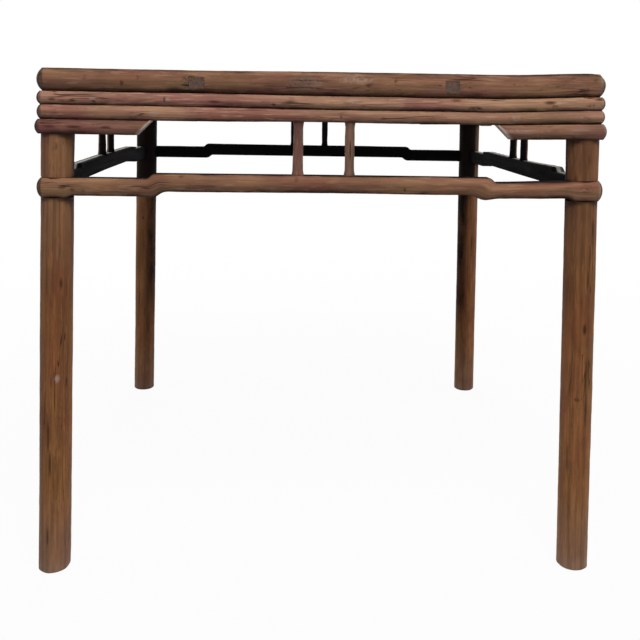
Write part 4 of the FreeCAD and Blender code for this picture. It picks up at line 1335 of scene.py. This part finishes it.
def old_wood(slot):
    """The slot's wood: fine and wide grain, blotches, knots, cracks, worn crowns, and grooves darkened with
    dirt and painted shade.
    """
    name = f"old_{slot}"
    if name in bpy.data.materials:
        return bpy.data.materials[name]
    finish = group("finish")
    wood, grime_and_shade = linear(getattr(finish, slot)), linear(finish.grime_and_shade)
    lacquer, dust = linear(finish.lacquer), linear(finish.dust)
    even = EVEN_OF_SLOT.get(slot, EVEN)
    material = bpy.data.materials.new(name)
    box = Paintbox(material)

    # The grain runs along X of the wood.
    grain = box.attribute("grain", "Vector")
    swayed = sway_grain(box, grain)
    fibres = box.noise(swayed, FIBRES, detail=2, rough=0.6)
    streaks = box.noise(swayed, STREAKS)
    broad = box.noise(swayed, BROAD)
    blotches = box.noise(grain, BLOTCHES, detail=4, rough=0.62, twist=0.4)

    # Olive and red tones run through each other.
    tone = box.math("ADD", box.noise(grain, HUE), box.math("MULTIPLY", box.attribute("tone"), 0.25))
    colour = box.mix(box.between(tone, 0.38, 0.49), tinted(wood, 0.84, 0.64, 0.76), wood)
    colour = box.mix(box.between(tone, 0.51, 0.62), colour, tinted(wood, 1.08, 1.20, 1.02))
    value = box.vary(streaks, even, 0.60, 1.36)
    value = box.math("MULTIPLY", value, box.vary(fibres, 0.2, 0.78, 1.20))
    value = box.math("MULTIPLY", value, box.vary(broad, even, 0.76, 1.22))
    value = box.math("MULTIPLY", value, box.vary(blotches, even, 0.80, 1.16))
    colour = box.mix(1.0, colour, box.grey(value), "MULTIPLY")

    # Worn fibres stand out pale in short strokes.
    strokes = box.noise(swayed, STROKES, detail=2)
    strokes = box.math("MULTIPLY", box.between(strokes, 0.55, 0.64), box.between(blotches, 0.40, 0.52))
    colour = box.mix(box.math("MULTIPLY", strokes, 0.60), colour, tinted(wood, 1.6, 1.9, 1.8))

    # Hands and cloths have rubbed the crowns lighter; the grooves are darkened with dirt and painted shade.
    # On the bands the crown sits high, so this also paints light on the upper part of each face and shade on
    # its lower part.
    crown = box.math("ADD", box.attribute("crown"), box.vary(blotches, 0.2, -0.14, 0.14))
    colour = box.mix(box.between(crown, 0.45, 1.0, 0.0, 0.30), colour, tinted(wood, 1.25, 1.22, 1.20))
    dirt_and_shade = box.between(crown, 0.04, 0.34, 0.95, 0.0)
    colour = box.mix(dirt_and_shade, colour, grime_and_shade)

    # Small dark flecks, thin cracks along the grain, and knots.
    flecks = box.noise(grain, FLECKS, detail=2)
    flecks = box.math("MULTIPLY", box.between(flecks, 0.63, 0.72), box.between(broad, 0.42, 0.6))
    cracks = find_cracks(box, grain, swayed)
    knots, halo = find_knots(box, swayed)
    colour = box.mix(box.math("MULTIPLY", halo, 0.35), colour, tinted(wood, 1.30, 1.05, 0.80))
    for amount, strength in ((flecks, 0.55), (cracks, 0.75), (knots, 0.80)):
        colour = box.mix(box.math("MULTIPLY", amount, strength), colour, grime_and_shade)

    # Marks that years of use left, and dust; painted shade, which the dark layer holds on the bands' lower
    # parts and on the legs; and the black lacquer of the inner faces, which round the front corners and on
    # the back legs is partly painted shade.
    dark, pale = box.attribute("dark"), box.attribute("pale")
    colour = box.mix(box.math("MULTIPLY", pale, box.between(streaks, 0.3, 0.6, 0.55, 1.0)), colour, dust)
    colour = box.mix(box.math("MULTIPLY", dark, 0.88), colour, grime_and_shade)
    black = box.math("ADD", box.attribute("lacquer"), box.vary(blotches, 0.2, -0.16, 0.16))
    black = box.between(black, 0.16, 0.62, 0.0, 0.97)
    colour = box.mix(black, colour, lacquer)

    # Feet have polished the bare tops of the stretchers, and a pale painted sheen stands for their glint;
    # the lacquer is dull.
    polish_and_sheen = box.between(pale, 0.82, 0.95)
    colour = box.mix(polish_and_sheen, colour, linear(POLISHED_SHEEN))
    rough = box.math("ADD", box.vary(streaks, 0.2, 0.52, 0.68), box.math("MULTIPLY", dirt_and_shade, 0.25))
    rough = box.math("MULTIPLY_ADD", polish_and_sheen, -0.30, rough)
    shine = box.math("MULTIPLY_ADD", polish_and_sheen, 0.45, box.between(black, 0.0, 1.0, 0.14, 0.045))
    height = box.math("MULTIPLY", streaks, 0.9)
    for amount, depth in ((fibres, 0.35), (flecks, -0.5), (cracks, -0.8), (knots, -0.5), (dark, -0.5)):
        height = box.math("MULTIPLY_ADD", amount, depth, height)
    bump = box.add("ShaderNodeBump", {"Height": height, "Strength": 0.75, "Distance": 0.0007})
    shader = box.add("ShaderNodeBsdfPrincipled", {
        "Base Color": colour, "Roughness": rough, "Normal": bump.outputs[0], "Specular IOR Level": shine,
    })
    box.add("ShaderNodeOutputMaterial", {"Surface": shader.outputs[0]})
    return material


# Camera, lamps and floor

SENSOR = 36.0
FLOOR_HALF = 14.0
FLOOR_CELLS = 28
SHADOW_REACH = (0.9, 2.6)
FLOOR_WHITE = 0.95
FLOOR_GREY = (0.60, 0.60, 0.60, 1.0)
# Where each lamp stands, what it points at, and its side
LAMPS = {
    "key": ((0.20, -1.80, 3.1), (0.0, -0.4, 0.55), 1.2),
    "back": ((-0.5, 2.6, 2.0), (0.0, 0.0, 0.65), 1.6),
    "right": ((2.7, 0.1, 1.9), (0.0, 0.0, 0.60), 1.6),
    "left": ((-2.7, 0.1, 1.9), (0.0, 0.0, 0.60), 1.6),
}
WHITE = (1.0, 1.0, 1.0, 1.0)


def is_seen(box):
    """1 for rays that look, mirror or pass through; 0 for light that falls on the table."""
    path = box.add("ShaderNodeLightPath", {}).outputs
    seen = box.math("MAXIMUM", path["Is Camera Ray"], path["Is Glossy Ray"])
    return box.math("MAXIMUM", seen, path["Is Transmission Ray"])


def make_floor():
    """A pale floor that keeps the table's shadow and turns pure white further out."""
    bm = bmesh.new()
    bmesh.ops.create_grid(bm, x_segments=FLOOR_CELLS, y_segments=FLOOR_CELLS, size=FLOOR_HALF)
    mesh = bpy.data.meshes.new("floor")
    bm.to_mesh(mesh)
    bm.free()
    floor = bpy.data.objects.new("floor", mesh)
    bpy.context.scene.collection.objects.link(floor)
    material = bpy.data.materials.new("pale_floor")
    box = Paintbox(material)
    place = box.add("ShaderNodeTexCoord", {}).outputs["Object"]
    far = box.add("ShaderNodeVectorMath", {0: place}, operation="LENGTH").outputs["Value"]
    far = box.between(far, *SHADOW_REACH, FLOOR_WHITE, 1.0)
    white = box.math("MULTIPLY", far, is_seen(box))
    plain = box.add("ShaderNodeBsdfDiffuse", {"Color": FLOOR_GREY}).outputs[0]
    bright = box.add("ShaderNodeEmission", {"Color": WHITE, "Strength": 1.0}).outputs[0]
    both = box.add("ShaderNodeMixShader", {0: white, 1: plain, 2: bright}).outputs[0]
    box.add("ShaderNodeOutputMaterial", {"Surface": both})
    mesh.materials.append(material)


def light_room():
    """A white world that gives little light, and soft lamps round the table."""
    studio = group("studio")
    world = bpy.data.worlds.new("studio")
    box = Paintbox(world)
    strength = box.between(is_seen(box), 0.0, 1.0, studio.ambient, 1.0)
    sky = box.add("ShaderNodeBackground", {"Color": WHITE, "Strength": strength}).outputs[0]
    box.add("ShaderNodeOutputWorld", {"Surface": sky})
    bpy.context.scene.world = world
    for name, (place, target, size) in LAMPS.items():
        light = bpy.data.lights.new(name, "AREA")
        light.energy = getattr(studio, name)
        light.size = size
        lamp = bpy.data.objects.new(name, light)
        lamp.location = place
        lamp.rotation_euler = (Vector(target) - Vector(place)).to_track_quat("-Z", "Y").to_euler()
        lamp.visible_camera = False
        lamp.visible_glossy = False
        bpy.context.scene.collection.objects.link(lamp)


def set_camera():
    studio = group("studio")
    across = Vector((math.cos(studio.yaw), math.sin(studio.yaw), 0))
    ahead = Vector((-math.sin(studio.yaw), math.cos(studio.yaw), 0))
    ahead_down = ahead * math.cos(studio.pitch) - UP * math.sin(studio.pitch)
    above = UP * math.cos(studio.pitch) + ahead * math.sin(studio.pitch)
    right = across * math.cos(studio.roll) + above * math.sin(studio.roll)
    top = above * math.cos(studio.roll) - across * math.sin(studio.roll)
    lens = bpy.data.cameras.new("camera")
    lens.sensor_width = SENSOR
    lens.lens = studio.lens
    lens.shift_y = studio.rise
    camera = bpy.data.objects.new("camera", lens)
    camera.matrix_world = Matrix((right, top, -ahead_down)).transposed().to_4x4()
    camera.location = studio.eye
    bpy.context.scene.collection.objects.link(camera)
    bpy.context.scene.camera = camera
    bpy.context.scene.view_settings.view_transform = "Standard"


# Operators

class TABLE_OT_legs(bpy.types.Operator):
    """Make the four round legs"""

    bl_idname = "table.legs"
    bl_label = "Legs"
    bl_options = {"REGISTER", "UNDO"}

    def execute(self, context):
        for turns, corner in enumerate(CORNERS):
            make_leg(corner, turns)
        return {"FINISHED"}


class TABLE_OT_frame(bpy.types.Operator):
    """Make the four rails of the top's frame"""

    bl_idname = "table.frame"
    bl_label = "Frame Rails"
    bl_options = {"REGISTER", "UNDO"}

    def execute(self, context):
        for turns, side in enumerate(SIDES):
            make_rail(side, turns)
        return {"FINISHED"}


class TABLE_OT_mouldings(bpy.types.Operator):
    """Make the mouldings and the apron strips under the frame"""

    bl_idname = "table.mouldings"
    bl_label = "Mouldings and Aprons"
    bl_options = {"REGISTER", "UNDO"}

    def execute(self, context):
        for turns, side in enumerate(SIDES):
            make_straight_band("moulding", side, turns)
            make_straight_band("apron", side, turns)
        return {"FINISHED"}


class TABLE_OT_spandrels(bpy.types.Operator):
    """Make the eight spandrels that wrap the legs' heads"""

    bl_idname = "table.spandrels"
    bl_label = "Spandrels"
    bl_options = {"REGISTER", "UNDO"}

    def execute(self, context):
        for turns, side in enumerate(SIDES):
            for letter in "ab":
                make_spandrel(side, turns, letter)
        return {"FINISHED"}


class TABLE_OT_stretchers(bpy.types.Operator):
    """Make the four stretchers with their humps"""

    bl_idname = "table.stretchers"
    bl_label = "Stretchers"
    bl_options = {"REGISTER", "UNDO"}

    def execute(self, context):
        for turns, side in enumerate(SIDES):
            make_stretcher(side, turns)
        return {"FINISHED"}


class TABLE_OT_struts(bpy.types.Operator):
    """Make the pair of struts on each side"""

    bl_idname = "table.struts"
    bl_label = "Struts"
    bl_options = {"REGISTER", "UNDO"}

    def execute(self, context):
        for turns, side in enumerate(SIDES):
            for letter in "ab":
                make_strut(side, turns, letter)
        return {"FINISHED"}


class TABLE_OT_top(bpy.types.Operator):
    """Make the top's boards and the battens under them"""

    bl_idname = "table.top"
    bl_label = "Boards and Battens"
    bl_options = {"REGISTER", "UNDO"}

    def execute(self, context):
        for number in range(1, BOARDS + 1):
            make_board(number)
        for number in (1, 2, 3):
            make_batten(number)
        return {"FINISHED"}


class TABLE_OT_stage(bpy.types.Operator):
    """Make the floor, the lamps and the camera"""

    bl_idname = "table.stage"
    bl_label = "Stage"
    bl_options = {"REGISTER", "UNDO"}

    def execute(self, context):
        make_floor()
        light_room()
        set_camera()
        return {"FINISHED"}


class TABLE_PT_sidebar(bpy.types.Panel):
    """Lists the table's settings and the operators that make it"""

    bl_idname = "TABLE_PT_sidebar"
    bl_label = "Table for Eight"
    bl_space_type = "VIEW_3D"
    bl_region_type = "UI"
    bl_category = "Table"

    def draw(self, context):
        for title in GROUPS:
            box = self.layout.box()
            box.label(text=title.title())
            settings = group(title)
            for name in settings.bl_rna.properties.keys():
                if name not in ("rna_type", "name"):
                    box.prop(settings, name)
        for operator in OPERATORS:
            self.layout.operator(operator.bl_idname)


GROUPS = {"shape": TableShape, "wear": TableWear, "finish": TableFinish, "studio": TableStudio}
OPERATORS = (
    TABLE_OT_legs,
    TABLE_OT_frame,
    TABLE_OT_mouldings,
    TABLE_OT_spandrels,
    TABLE_OT_stretchers,
    TABLE_OT_struts,
    TABLE_OT_top,
    TABLE_OT_stage,
)


def register():
    for name, settings in GROUPS.items():
        bpy.utils.register_class(settings)
        setattr(bpy.types.Scene, f"table_{name}", PointerProperty(type=settings))
    for operator in OPERATORS:
        bpy.utils.register_class(operator)
    bpy.utils.register_class(TABLE_PT_sidebar)


def unregister():
    bpy.utils.unregister_class(TABLE_PT_sidebar)
    for operator in reversed(OPERATORS):
        bpy.utils.unregister_class(operator)
    for name, settings in reversed(GROUPS.items()):
        delattr(bpy.types.Scene, f"table_{name}")
        bpy.utils.unregister_class(settings)


def main():
    register()
    bpy.ops.table.legs()
    bpy.ops.table.frame()
    bpy.ops.table.mouldings()
    bpy.ops.table.spandrels()
    bpy.ops.table.stretchers()
    bpy.ops.table.struts()
    bpy.ops.table.top()
    bpy.ops.table.stage()


if __name__ == "__main__":
    main()
